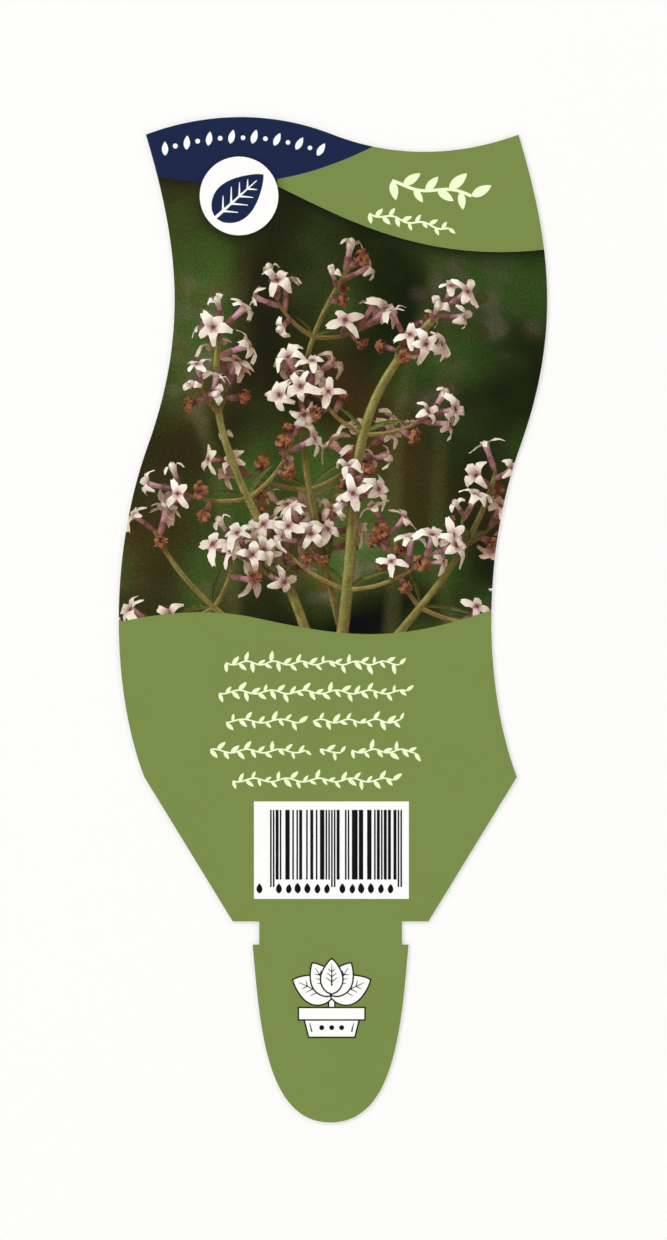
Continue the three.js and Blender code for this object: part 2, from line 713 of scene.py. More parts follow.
def add_shade(lines, strength, height, closed=False):
    """A soft printed shade over parallel lines, whose cover fades from the first to the last."""
    count = len(lines[0])
    triangles = []
    for row in range(SHADE_STEPS):
        for step in range(count if closed else count - 1):
            near = row * count + step
            near_next = row * count + (step + 1) % count
            triangles.append((near, near_next, near_next + count))
            triangles.append((near, near_next + count, near + count))
    points = np.array([spot for line in lines for spot in line], float)
    covers = [strength * (1 - step / SHADE_STEPS) ** 2 for step in range(SHADE_STEPS + 1)]
    cover = np.repeat(covers, count)[:, None]
    values = np.concatenate([np.full((len(points), 1), height), cover * np.array(SHADE_INK), cover], 1)
    pile.add_triangles(points, np.array(triangles), None, values)


round_shade_centre = np.add(ROUND_CENTRE, ROUND_SHADE_SHIFT)
round_shade_start = ROUND_RADIUS - ROUND_SHADE_INSET
round_shade_width = ROUND_SHADE_REACH + ROUND_SHADE_INSET
rings = [
    circle(round_shade_centre, round_shade_start + round_shade_width * step / SHADE_STEPS, 48)
    for step in range(SHADE_STEPS + 1)
]
add_shade(rings, ROUND_SHADE_COVER, HEIGHT_ROUND_SHADE, closed=True)
pile.add_area(circle(ROUND_CENTRE, ROUND_RADIUS, 96), "white ink", HEIGHT_ROUND)

ground_shades = ((band_wave, *BAND_SHADE), (navy_wave[:NAVY_OVER_PICTURE], *NAVY_SHADE))
for line, reach, strength in ground_shades:
    drops = [
        [(x + SHADE_SLANT * reach * step / SHADE_STEPS, y - reach * step / SHADE_STEPS) for x, y in line]
        for step in range(SHADE_STEPS + 1)
    ]
    add_shade(drops, strength, HEIGHT_SHADE)
print("grounds and shades", len(pile.faces), "faces")

# %% [markdown]
# ## Trees that repeat
#
# Most of the print repeats: bars, leaves along a vine, blossoms along a shoot. Geometry
# Nodes make those. Each tree names its sizes, takes a fixed seed, and ends by realizing
# its instances and setting its ink. `grow` runs a tree once and keeps a plain mesh. These
# small meshes are drawn with one unit for one millimetre.

# %% Geometry trees
def new_tree(name, inputs):
    """A geometry tree with named inputs. Gives the tree and a function that reads an input."""
    tree = bpy.data.node_groups.new(name, "GeometryNodeTree")
    tree.is_modifier = True
    for label, kind, value in inputs:
        socket = tree.interface.new_socket(name=label, in_out="INPUT", socket_type="NodeSocket" + kind)
        if value is not None:
            socket.default_value = value
    tree.interface.new_socket(name="Geometry", in_out="OUTPUT", socket_type="NodeSocketGeometry")
    entry = tree.nodes.new("NodeGroupInput")
    return tree, lambda label: Wire(entry.outputs[label])


def finish_tree(tree, parts, ink):
    """Joins the parts, makes their instances real and gives them their ink."""
    joined = add_node(tree, "GeometryNodeJoinGeometry", values={"Geometry": parts})
    realized = add_node(tree, "GeometryNodeRealizeInstances", values={"Geometry": joined})
    inked = add_node(tree, "GeometryNodeSetMaterial", values={"Geometry": realized, "Material": ink})
    plug(inked, tree.nodes.new("NodeGroupOutput"), "Geometry")


def grow(tree, settings):
    """Runs a tree on an empty object and gives back the plain mesh that it made."""
    holder = add_object(tree.name, bpy.data.meshes.new(tree.name))
    modifier = holder.modifiers.new(tree.name, "NODES")
    modifier.node_group = tree
    for item in tree.interface.items_tree:
        if item.in_out == "INPUT" and item.name in settings:
            modifier[item.identifier] = settings[item.name]
    graph = bpy.context.evaluated_depsgraph_get()
    grown = bpy.data.meshes.new_from_object(
        holder.evaluated_get(graph), preserve_all_data_layers=True, depsgraph=graph,
    )
    holder.modifiers.remove(modifier)
    bpy.data.objects.remove(holder)
    return grown


# %% [markdown]
# The trees share a few groups of nodes: random numbers, vectors made of their parts, turns
# about an axis, and the ways to cut up a curve.

# %% Shared groups of nodes
def random_value(tree, low_end, high_end, seed, kind="FLOAT"):
    values = {"Min": low_end, "Max": high_end, "Seed": seed}
    return add_node(tree, "FunctionNodeRandomValue", {"data_type": kind}, values)


def index_of(tree):
    return add_node(tree, "GeometryNodeInputIndex")


def combine(tree, **parts):
    return add_node(tree, "ShaderNodeCombineXYZ", values=parts)


def about_z(tree, angle):
    return add_node(tree, "FunctionNodeAxisAngleToRotation", values={"Axis": (0, 0, 1), "Angle": angle})


def turn_further(tree, rotation, angle):
    """A rotation with a further turn about its own Z axis."""
    values = {"Rotation": rotation, "Rotate By": about_z(tree, angle)}
    return add_node(tree, "FunctionNodeRotateRotation", {"rotation_space": "LOCAL"}, values)


def heading_of(points):
    """Turns +X the way that a curve runs at its points."""
    values = {"Vector": points.other("Tangent")}
    return add_node(points.tree, "FunctionNodeAlignRotationToVector", {"axis": "X"}, values)


def resample(tree, curve, spacing):
    values = {"Curve": curve, "Length": spacing}
    return add_node(tree, "GeometryNodeResampleCurve", {"mode": "LENGTH"}, values)


def points_of(tree, curve, mode="EVALUATED", **limit):
    """Points on a curve: its own, or as many as a Count or a Length says."""
    return add_node(tree, "GeometryNodeCurveToPoints", {"mode": mode}, {"Curve": curve, **limit})


def shape_of(tree, motif):
    return add_node(tree, "GeometryNodeObjectInfo", values={"Object": motif}, output="Geometry")


def stand_on(tree, points, instance, **values):
    """Sets an instance on each point. Names with a space in them are written with a `_`."""
    spaced = {name.replace("_", " "): value for name, value in values.items()}
    values = {"Points": points, "Instance": instance, **spaced}
    return add_node(tree, "GeometryNodeInstanceOnPoints", values=values)


def pick_on(tree, points, collection, number, **values):
    """Sets one member of a collection on each point: that of the number there."""
    pool = add_node(
        tree, "GeometryNodeCollectionInfo",
        values={"Collection": collection, "Separate Children": True, "Reset Children": True},
    )
    return stand_on(tree, points, pool, Pick_Instance=True, Instance_Index=number, **values)


# %% [markdown]
# Motifs are small flat or hollow models. `model` keeps one as an object that the trees can
# place, with a colour painted on each point.

# %% Motifs
WHITE = (1.0, 1.0, 1.0)
motifs = []


def model(name, points, faces, colours=None):
    mesh = bpy.data.meshes.new(name)
    mesh.from_pydata([(*point, 0.0)[:3] for point in points], [], faces)
    paint = mesh.attributes.new("paint", "FLOAT_COLOR", "POINT")
    for entry, colour in zip(paint.data, colours or [WHITE] * len(points)):
        entry.color = (*colour, 1.0)
    motifs.append(add_object(name, mesh))
    return motifs[-1]


def flat_model(name, outline):
    return model(name, outline, [range(len(outline))])


def leaf_outline(length, width, steps=7, tip=0.85):
    """A pointed leaf from its stalk at (0, 0) along +X."""
    side = []
    for step in range(1, steps):
        along = step / steps
        side.append((length * along, width / 2 * math.sin(math.pi * along ** tip) ** 0.8))
    lower = [(x, -y) for x, y in side]
    return [(0.0, 0.0), *lower, (length, 0.0), *reversed(side)]


def family(name, members):
    """A collection of motifs, from which a tree picks by number. They go in by name."""
    group = bpy.data.collections.new(name)
    for member in members:
        scene.collection.objects.unlink(member)
        group.objects.link(member)
    return group


small_leaf = flat_model("small leaf", leaf_outline(1.95, 0.78))
print("small leaf", len(small_leaf.data.vertices), "points")

# %% [markdown]
# ## Vines in place of words
#
# Where such a label carries names, this one has plain ornament: a thin waving stem with
# leaves to both sides, as long and as high as a line of small type. The tree bends a line
# into a wave, gives it a width, and sets leaves on it that point up and down in turn.

# %% Vine tree
LEAST_LEAN = math.radians(38)
MOST_LEAN = math.radians(66)


def vine_tree():
    tree, given = new_tree("vine", [
        ("Length", "Float", 30.0), ("Leaf spacing", "Float", 1.1), ("Wave height", "Float", 0.35),
        ("Wave length", "Float", 6.0), ("Stem width", "Float", 0.3), ("Leaf scale", "Float", 1.0),
        ("Leaf", "Object", None), ("Seed", "Int", 1), ("Ink", "Material", None),
    ])
    end_point = combine(tree, X=given("Length"))
    line = add_node(tree, "GeometryNodeCurvePrimitiveLine", values={"End": end_point})
    position = add_node(tree, "GeometryNodeInputPosition")
    across = add_node(tree, "ShaderNodeSeparateXYZ", values={0: position}, output="X")
    turn = across * (2 * math.pi) / given("Wave length") + given("Seed")
    swing = combine(tree, Y=turn.apply("SINE") * given("Wave height"))
    waved = add_node(
        tree, "GeometryNodeSetPosition", values={"Geometry": resample(tree, line, 0.5), "Offset": swing},
    )

    half = given("Stem width") / 2
    ends = {"Start": combine(tree, X=half), "End": combine(tree, X=0 - half)}
    profile = add_node(tree, "GeometryNodeCurvePrimitiveLine", values=ends)
    stem = add_node(tree, "GeometryNodeCurveToMesh", values={"Curve": waved, "Profile Curve": profile})

    knots = points_of(tree, waved, "LENGTH", Length=given("Leaf spacing"))
    up_or_down = index_of(tree) % 2.0 * 2 - 1
    lean = up_or_down * random_value(tree, LEAST_LEAN, MOST_LEAN, given("Seed"))
    leaves = stand_on(
        tree, knots, shape_of(tree, given("Leaf")), Rotation=turn_further(tree, heading_of(knots), lean),
        Scale=random_value(tree, 0.72, 1.15, given("Seed") + 7) * given("Leaf scale"),
    )
    finish_tree(tree, [stem, leaves], given("Ink"))
    return tree


vine = vine_tree()
print("vine tree", len(vine.nodes), "nodes")

# %% [markdown]
# A grown motif enters the pile flat, at one height, turned and moved to its place. Rows of
# vines stand where the lines of text would be, and two larger ones slope down to the
# right, where the title and the small line under it would.

# %% Placing ornament
def turned(points, angle, place):
    """Flat points turned by an angle in degrees and moved to their place."""
    cos_angle = math.cos(math.radians(angle))
    sin_angle = math.sin(math.radians(angle))
    return [
        (place[0] + x * cos_angle - y * sin_angle, place[1] + x * sin_angle + y * cos_angle)
        for x, y in points
    ]


def lay_flat(mesh, place, height, tilt=0.0):
    """Adds a flat mesh to the pile, with the inks of its own faces."""
    spots = turned([vert.co.xy for vert in mesh.vertices], tilt, place)
    for face in mesh.polygons:
        outline = [spots[corner] for corner in face.vertices]
        pile.add_area(outline, mesh.materials[face.material_index].name, height)


def add_vine(place, settings, tilt=0.0):
    lay_flat(grow(vine, {"Ink": materials["cream ink"], **settings}), place, HEIGHT_MARK, tilt)


ROW_LINES = [
    (-8.24, [(-20.4, 13.9)]),
    (-13.76, [(-21.7, 15.2)]),
    (-19.29, [(-20.4, -5.3), (-3.8, 14.1)]),
    (-25.00, [(-23.4, -4.0), (-2.5, 2.7), (3.6, 16.8)]),
    (-30.53, [(-19.1, 12.6)]),
]
LEAF_REACH = 1.2
row_seed = 3
for line_height, runs in ROW_LINES:
    for run_start, run_end in runs:
        add_vine((run_start, line_height), {
            "Length": run_end - run_start - LEAF_REACH, "Leaf": small_leaf, "Seed": row_seed,
            "Leaf spacing": 1.25, "Wave length": 5.2 + row_seed % 3,
        })
        row_seed += 1

TITLE_TILT = -9.0
SUBTITLE_TILT = -11.0
TITLE_LENGTH = 15.4
add_vine((11.2, 83.2), {
    "Length": TITLE_LENGTH, "Leaf": flat_model("title leaf", leaf_outline(4.0, 1.7, 9)), "Seed": 21,
    "Leaf spacing": 2.23, "Wave height": 0.55, "Wave length": 13.0, "Stem width": 0.6,
}, TITLE_TILT)
add_vine((6.9, 77.4), {
    "Length": TITLE_LENGTH, "Leaf": flat_model("subtitle leaf", leaf_outline(2.1, 0.9)), "Seed": 22,
    "Leaf spacing": 1.25, "Stem width": 0.36,
}, SUBTITLE_TILT)
print("ornament", len(pile.faces), "faces in the pile")

# %% [markdown]
# ## Marks in a row
#
# White leaves and berries by turns follow an arc over the roundel, and a row of black
# seeds stands where a bar panel has its digits. One tree makes both: it spaces motifs
# along an arc, upright to it. A very large radius gives a straight row.

# %% Arc of marks
def arc_tree():
    tree, given = new_tree("marks on an arc", [
        ("Radius", "Float", 46.0), ("Span", "Float", 0.66), ("Count", "Int", 15),
        ("Lean", "Float", -0.3), ("Marks", "Collection", None), ("Seed", "Int", 1),
        ("Ink", "Material", None),
    ])
    arc = add_node(
        tree, "GeometryNodeCurveArc",
        values={
            "Resolution": 64, "Radius": given("Radius"),
            "Start Angle": math.pi / 2 + given("Span") / 2, "Sweep Angle": 0 - given("Span"),
        },
    )
    spots = points_of(tree, arc, "COUNT", Count=given("Count"))
    lean = given("Lean") + random_value(tree, -0.08, 0.08, given("Seed")) + math.pi / 2
    marks = pick_on(
        tree, spots, given("Marks"), index_of(tree), Rotation=turn_further(tree, heading_of(spots), lean),
        Scale=random_value(tree, 0.94, 1.06, given("Seed")),
    )
    finish_tree(tree, [marks], given("Ink"))
    return tree


arc_marks = arc_tree()
ARC_RADIUS = 46.0
ARC_TOP = (-17.5, 90.75)
arc_family = family("arc marks", [
    flat_model("1 arc leaf", leaf_outline(2.7, 1.2, 9)),
    flat_model("2 berry", circle((1.15, 0), 0.45, 16)),
])
arc = grow(arc_marks, {
    "Radius": ARC_RADIUS, "Span": 0.64, "Count": 15, "Seed": 5, "Ink": materials["white ink"],
    "Marks": arc_family,
})
lay_flat(arc, (ARC_TOP[0], ARC_TOP[1] - ARC_RADIUS), HEIGHT_MARK)
print("arc", len(arc.polygons), "marks")

# %% [markdown]
# ## Bar panel
#
# The panel has the look of a bar code and holds none. The tree draws each bar's width and
# the gap after it from one to four modules, adds them up to find where each bar stands,
# and lets six thin bars, two at each end and two in the middle, reach lower. Ink spreads a
# little as it is pressed on, so every bar is slightly wider than its modules.

# %% Bar tree
BARS = 30
PANEL = (-15.05, -53.18, 14.46, -34.62)
BAR_LEFT = -11.96
BAR_RIGHT = 13.13
BAR_TOP = -36.22
BAR_FOOT = -49.50
GUARD_FOOT = -50.91
BAR_STEPS = (0.55, 0.8, 0.95)
GAP_STEPS = (0.5, 0.78, 0.93)


def rectangle(left, bottom, right, top):
    return [(left, bottom), (right, bottom), (right, top), (left, top)]


def modules(drawn, steps, guard):
    """One module and one more for each step that the draw is past, but only one at a guard."""
    count = sum((drawn > step for step in steps), 1)
    return count + guard * (1 - count)


def bar_tree():
    tree, given = new_tree("bars", [
        ("Count", "Int", BARS), ("Width", "Float", 25.0), ("Height", "Float", 13.3),
        ("Guard drop", "Float", 1.4), ("Ink spread", "Float", 0.06), ("Bar", "Object", None),
        ("Seed", "Int", 1), ("Ink", "Material", None),
    ])
    row = {"Count": given("Count"), "Offset": (1.0, 0.0, 0.0)}
    line = add_node(tree, "GeometryNodeMeshLine", values=row)
    middle = given("Count") / 2
    from_middle = (index_of(tree) + 0.5 - middle).apply("ABSOLUTE")
    guard = (from_middle > middle - 2.0) + (from_middle < 1.0)
    width = modules(random_value(tree, 0.0, 1.0, given("Seed")), BAR_STEPS, guard)
    gap = modules(random_value(tree, 0.0, 1.0, given("Seed") + 50), GAP_STEPS, guard)
    sums = add_node(tree, "GeometryNodeAccumulateField", values={"Value": width + gap}, output="Trailing")
    unit = given("Width") / (sums.other("Total") - 1)
    left = combine(tree, X=sums * unit - given("Ink spread") / 2)
    spaced = add_node(tree, "GeometryNodeSetPosition", values={"Geometry": line, "Position": left})
    across = width * unit + given("Ink spread")
    tall = given("Height") + guard * given("Guard drop")
    size = combine(tree, X=across, Y=tall, Z=1.0)
    bars = stand_on(tree, spaced, shape_of(tree, given("Bar")), Scale=size)
    finish_tree(tree, [bars], given("Ink"))
    return tree


pile.add_area(rectangle(*PANEL), "white ink", HEIGHT_MARK)
bars = grow(bar_tree(), {
    "Count": BARS, "Width": BAR_RIGHT - BAR_LEFT, "Height": BAR_TOP - BAR_FOOT,
    "Guard drop": BAR_FOOT - GUARD_FOOT, "Bar": flat_model("unit bar", rectangle(0, -1, 1, 0)),
    "Seed": 79, "Ink": materials["black ink"],
})
lay_flat(bars, (BAR_LEFT, BAR_TOP), HEIGHT_MARK + 1)
print("bars", len(bars.polygons))

# %% [markdown]
# The seeds stand in three groups under the bars, as the digits would.

# %% Seed marks
SEED_LENGTH = 1.95
SEED_WIDTH = 1.15
SEED_ROW = -51.2
SEED_SPACING = 1.82
SEED_GROUPS = ((-14.0, 1), (-10.3, 6), (1.8, 6))
STRAIGHT_RADIUS = 4000.0
LEAST_RUN = 0.01

seed_mark = flat_model("seed mark", leaf_outline(SEED_LENGTH, SEED_WIDTH))
seed_family = family("seed marks", [seed_mark])
for start, count in SEED_GROUPS:
    run = (count - 1) * SEED_SPACING
    seeds = grow(arc_marks, {
        "Radius": STRAIGHT_RADIUS, "Span": max(run, LEAST_RUN) / STRAIGHT_RADIUS, "Count": count,
        "Lean": 0.0, "Marks": seed_family, "Seed": 9, "Ink": materials["black ink"],
    })
    lay_flat(seeds, (start + run / 2, SEED_ROW - STRAIGHT_RADIUS - SEED_LENGTH / 2), HEIGHT_MARK + 1)
print("seeds", sum(count for _, count in SEED_GROUPS))

# %% [markdown]
# ## Roundel and stake emblem
#
# The roundel holds one plain navy leaf with its veins left white. The tongue carries a
# seedling in a pot: a white shape with thin black lines.

# %% Roundel leaf
LEAF_LENGTH = 12.4
LEAF_WIDTH = 7.7
LEAF_TURN = 42.0
LEAF_PLACE = (ROUND_CENTRE[0] - 4.55, ROUND_CENTRE[1] - 4.2)
VEIN_REACHES = (2.75, 3.0, 2.5, 1.7)


def stroke(start, end, width, end_width=None):
    """A straight line with a width, as a four-cornered shape."""
    start = Vector(start)
    end = Vector(end)
    run = end - start
    side = Vector((-run.y, run.x)).normalized()
    half = side * width / 2
    end_half = side * (width if end_width is None else end_width) / 2
    return [tuple(spot) for spot in (start - half, end - end_half, end + end_half, start + half)]


def on_roundel(points, ink, height):
    pile.add_area(turned(points, LEAF_TURN, LEAF_PLACE), ink, height)


on_roundel(leaf_outline(LEAF_LENGTH, LEAF_WIDTH, 24, 0.72), "navy ink", HEIGHT_MARK)
on_roundel(stroke((-0.4, 0), (LEAF_LENGTH * 0.86, 0), 0.62, 0.18), "white ink", HEIGHT_MARK + 1)
for vein, reach in enumerate(VEIN_REACHES):
    root = LEAF_LENGTH * (0.16 + 0.17 * vein)
    for side in (-1, 1):
        vein_end = (root + reach * 0.72, side * reach * 0.78)
        on_roundel(stroke((root, 0), vein_end, 0.42, 0.14), "white ink", HEIGHT_MARK + 1)
print("roundel leaf", len(VEIN_REACHES), "pairs of veins")

# %% [markdown]
# The emblem is drawn from a few shapes: a stem, five leaves, and a pot with a rim. Each is
# laid down twice, a little larger in black and then in white, which leaves a line of black
# round the white. Its ribs, veins or dots follow in black, before the next one covers them.

# %% Stake emblem
EMBLEM_CENTRE = (-0.24, -72.0)
EMBLEM_LINE = 0.29
EMBLEM_LEAVES = [
    (8.0, 5.3, -65, 0.0), (8.0, 5.3, 65, 0.0), (7.0, 4.5, -31, 0.5), (7.0, 4.5, 31, 0.5),
    (6.5, 4.0, 0, 0.8),
]
EMBLEM_STEM = stroke((0.0, -2.5), (0.0, 1.6), 0.9)
POT_BODY = [(-4.3, -7.4), (4.3, -7.4), (5.3, -3.4), (-5.3, -3.4)]
POT_RIM = rectangle(-6.2, -4.1, 6.2, -2.0)
POT_SHADES = [stroke((side * 3.8, -6.5), (side * 4.2, -4.8), 0.30, 0.12) for side in (-1, 1)]
POT_DOTS = [circle((x, -5.7), 0.48, 12) for x in (-1.9, 0.0, 1.9)]


def veined_leaf(length, width, lean, seat):
    """A leaf's outline and the lines on it, turned from upright by `lean` degrees."""
    lines = [stroke((1.5, 0), (length * 0.86, 0), 0.32, 0.10)]
    for vein in range(3):
        root = length * (0.34 + 0.15 * vein)
        reach = width * (0.27 - 0.05 * vein)
        for side in (-1, 1):
            lines.append(stroke((root, 0), (root + 0.8 * reach, side * reach), 0.22, 0.10))
    outline = leaf_outline(length, width, 18, 0.78)
    return [turned(points, 90 - lean, (0.0, seat)) for points in (outline, *lines)]


leaves = [veined_leaf(*leaf) for leaf in EMBLEM_LEAVES]
emblem = [[EMBLEM_STEM], *leaves, [POT_BODY, *POT_SHADES, *POT_DOTS], [POT_RIM]]
for level, (outline, *lines) in enumerate(emblem):
    height = HEIGHT_MARK + level
    place = np.array(outline) + EMBLEM_CENTRE
    pile.add_area(offset_loop(place, EMBLEM_LINE), "black ink", height)
    pile.add_area(place, "white ink", height + 0.3)
    for line in lines:
        pile.add_area(np.array(line) + EMBLEM_CENTRE, "black ink", height + 0.6)
print("marks", len(pile.faces), "faces in the pile")

# %% [markdown]
# ## The picture: flowering sprigs
#
# The picture shows a fan of herb sprigs in flower. It could be drawn flat, but blossoms
# seen from all sides are hard to draw by rule and easy to model. So the sprigs are built
# in depth, lit, and pressed flat like flowers in a book. Their parts are rings joined to
# tubes and narrow strips of faces, with a colour on each point.

# %% Tubes and strips
THROAT = printed(186, 142, 142)
THROAT_DARK = printed(116, 74, 64)
MAUVE = printed(206, 154, 180)
LILAC = printed(212, 182, 190)
PETAL = printed(244, 236, 226)
PETAL_TIP = printed(251, 247, 240)
CALYX = printed(168, 122, 128)
CALYX_FOOT = printed(122, 108, 64)
RUST = printed(182, 121, 86)
RUST_DARK = printed(78, 46, 34)
ACROSS = (-1, 0, 1)


def mixed(first, second, share):
    share = min(max(share, 0.0), 1.0)
    return tuple(a + (b - a) * share for a, b in zip(first, second))


def join_parts(parts):
    points = []
    faces = []
    colours = []
    for part_points, part_faces, part_colours in parts:
        faces.extend([corner + len(points) for corner in face] for face in part_faces)
        points.extend(part_points)
        colours.extend(part_colours)
    return points, faces, colours


def tube(profile, sides=6, streak=0.14):
    """Rings of (height, radius, colour), joined to a tube along +Z with darker streaks."""
    points = [(x, y, height) for height, radius, _ in profile for x, y in circle((0, 0), radius, sides)]
    shades = [1 + streak * (side % 2 * 2 - 1) for side in range(sides)]
    colours = [tuple(value * shade for value in colour) for _, _, colour in profile for shade in shades]
    faces = []
    for ring in range(len(profile) - 1):
        for side in range(sides):
            near = ring * sides + side
            far = ring * sides + (side + 1) % sides
            faces.append((near, far, far + sides, near + sides))
    return points, faces, colours


def strip(rows, place, paint):
    """Three points across and `rows` steps along, from two functions of (along, across)."""
    spots = [(row / rows, across) for row in range(rows + 1) for across in ACROSS]
    faces = []
    for row in range(rows):
        for column in (0, 1):
            near = row * 3 + column
            faces.append((near, near + 1, near + 4, near + 3))
    return [place(*spot) for spot in spots], faces, [paint(*spot) for spot in spots]


def spun(turn, out, side, rise):
    """The point that lies so far out, aside and up, once it is turned about Z."""
    return (
        out * math.cos(turn) - side * math.sin(turn), out * math.sin(turn) + side * math.cos(turn), rise,
    )


# %% [markdown]
# A blossom stands on +Z: a calyx, a mauve tube, and four or five white lobes that are
# joined at their feet. Each lobe is a strip, a little different from the next. Three kinds
# of open blossoms are enough, because each is turned another way where it is used.

# %% Open blossoms
LIMB = 4.9
LOBE_FOOT = 0.42
CALYX_PROFILE = [(0.0, 0.28, CALYX_FOOT), (1.2, 0.48, CALYX), (2.6, 0.54, mixed(CALYX, RUST_DARK, 0.5))]
draw = random.Random(11)


def lobe(turn, length, width, base, curl, twist):
    """One lobe of a blossom: broad at its foot, ruffled, with a blunt or notched end."""
    notch = draw.uniform(-0.16, 0.14)
    ruffle = draw.uniform(0, 2 * math.pi)

    def place(along, across):
        taper = 1.2 - 0.15 * along - 0.6 * along ** 3
        side = across * (width / 2 * taper * (1 + 0.12 * math.sin(9 * along + ruffle)))
        out = LOBE_FOOT + length * along * (1 + notch * across * across)
        rise = base + length * (0.25 * curl * math.sin(math.pi * along) - 0.28 * along ** 2)
        waves = 0.14 * math.sin(7 * along + ruffle * (across + 2))
        rise += side * twist * along - 0.18 * abs(side) + waves
        return spun(turn, out, side, rise)

    def paint(along, across):
        colour = mixed(mixed(THROAT, LILAC, along * 4), PETAL, along * 3.6 - 0.15)
        colour = mixed(colour, PETAL_TIP, along * 2 - 1)
        return mixed(colour, LILAC, 0.25 * (1 - abs(across)) * (1 - along))

    return strip(4, place, paint)


def open_blossom(lobe_lengths, cup):
    """A tube with its lobes spread; a higher cup folds them forward."""
    throat = [
        (LIMB - 0.25, 0.02, THROAT_DARK), (LIMB + 0.03, 0.28, THROAT_DARK), (LIMB + 0.06, 0.52, THROAT),
    ]
    parts = [
        tube(CALYX_PROFILE),
        tube([(2.2, 0.38, CALYX), (3.4, 0.44, MAUVE), (LIMB, 0.60, LILAC)]),
        tube(throat, streak=0.04),
    ]
    for number, length in enumerate(lobe_lengths):
        turn = 2 * math.pi * number / len(lobe_lengths) + draw.uniform(-0.22, 0.22)
        curl = cup + draw.uniform(-0.4, 0.5)
        width = draw.uniform(1.1, 1.45)
        parts.append(lobe(turn, length, width, LIMB, curl, draw.uniform(-0.7, 0.7)))
    return parts


open_parts = open_blossom((2.4, 1.9, 2.6, 2.0, 2.3), 0.9)
flat_parts = open_blossom((2.7, 1.8, 2.4, 2.6), 0.2)
cupped_parts = open_blossom((2.1, 2.4, 1.8, 2.3), 1.9)
print("parts of an open blossom", len(open_parts))

# %% [markdown]
# Two more kinds show the others' age: half open blossoms, which are a swollen tube with two
# lobes, and spent ones, whose lobes have shrivelled to rust-brown crumbs.

# %% Half open and spent blossoms
def withered(turn, base, size):
    """A shrivelled lobe: a small crumpled strip in rust brown."""
    rows = 3
    shifts = [(draw.uniform(-0.35, 0.35), draw.uniform(-0.35, 0.35)) for _ in range((rows + 1) * 3)]

    def shift_at(along, across):
        return shifts[round(along * rows) * 3 + across + 1]

    def place(along, across):
        lengthwise, sideways = shift_at(along, across)
        out = 0.3 + size * along + lengthwise * size
        side = across * 0.45 * size + sideways * size
        return spun(turn, out, side, base + 0.9 * math.sin(3 * along) * size + lengthwise)

    def paint(along, across):
        return mixed(RUST, RUST_DARK, 0.4 + 2.4 * shift_at(along, across)[1])

    return strip(rows, place, paint)


bud = [
    (2.2, 0.36, MAUVE), (3.6, 0.46, LILAC), (4.5, 0.66, PETAL), (5.2, 0.50, PETAL_TIP), (5.5, 0.1, LILAC),
]
half_parts = [
    tube(CALYX_PROFILE), tube(bud),
    lobe(0.6, 1.5, 1.1, 4.6, 1.6, 0.3), lobe(2.9, 1.3, 1.0, 4.6, 1.8, -0.4),
]
spent_parts = [
    tube([(0.0, 0.28, CALYX_FOOT), (1.3, 0.50, CALYX), (2.6, 0.60, RUST_DARK), (3.3, 0.45, RUST)]),
]
for number in range(6):
    turn = number * math.pi / 3 + draw.uniform(-0.3, 0.3)
    spent_parts.append(withered(turn, draw.uniform(2.7, 3.2), draw.uniform(0.7, 1.15)))

BLOSSOM_KINDS = (
    ("1 open", open_parts), ("2 flat", flat_parts), ("3 cupped", cupped_parts),
    ("4 half open", half_parts), ("5 spent", spent_parts),
)
blossoms = family("blossoms", [model(name, *join_parts(parts)) for name, parts in BLOSSOM_KINDS])

# %% [markdown]
# Leaves stand in pairs at each knot of a sprig, and a pair of side shoots grows from above
# them. A leaf is lance-shaped, folded along its rib and arched back, with lighter veins
# painted across. Stalks and shoots are curves, so that the tree can set blossoms along
# them. Each route is given in millimetres on the sheet and above the ground.

# %% Leaf pair and shoot pair
LEAF_GREEN = printed(84, 106, 48)
LEAF_DEEP = printed(50, 68, 28)
LEAF_RIB = printed(138, 152, 84)
LEAF_ROWS = 14
LEAF_LIFT = math.radians(38)
SHOOT_WIDTH = 0.9
SHOOT = [(0, 0, 0), (5.5, 0, 0.8), (11.0, 0, 3.6), (15.5, 0, 8.6)]
STALKS = [
    (1.9, [(-3, -9, 0), (-8, 8, 2), (-19, 26, 4), (-24, 44, 5), (-21, 57, 5)]),
    (2.3, [(1, -9, 0), (4, 14, 4), (3, 34, 6), (11, 50, 8), (22, 60, 8)]),
    (1.6, [(7, -9, -2), (17, 3, -2), (27, 13, 0), (31, 28, 1)]),
    (1.4, [(-8, -9, -4), (-19, -1, -3), (-29, 6, -2), (-34, 17, -1)]),
    (1.4, [(2, -4, -6), (-4, 20, -6), (-8, 42, -5), (-4, 56, -4), (3, 67, -4)]),
]


def lance_leaf(side):
    """A leaf that leaves its knot to one side, +X or -X."""
    def place(along, across):
        half = 2.1 * math.sin(math.pi * min(along ** 0.85, 1.0)) ** 0.85
        out = 0.6 + 15.0 * along
        rise = 0.55 * abs(across) * half - 2.6 * along ** 2
        x = out * math.cos(LEAF_LIFT) - rise * math.sin(LEAF_LIFT)
        z = out * math.sin(LEAF_LIFT) + rise * math.cos(LEAF_LIFT)
        return (side * x, side * across * half, z)

    def paint(along, across):
        vein = 0.5 + 0.5 * math.cos(2 * math.pi * (along * LEAF_ROWS / 2 + 0.5 * abs(across)))
        blade = mixed(LEAF_DEEP, LEAF_GREEN, 0.25 + 0.75 * vein)
        return LEAF_RIB if across == 0 else mixed(blade, LEAF_DEEP, along * 0.3)

    return strip(LEAF_ROWS, place, paint)


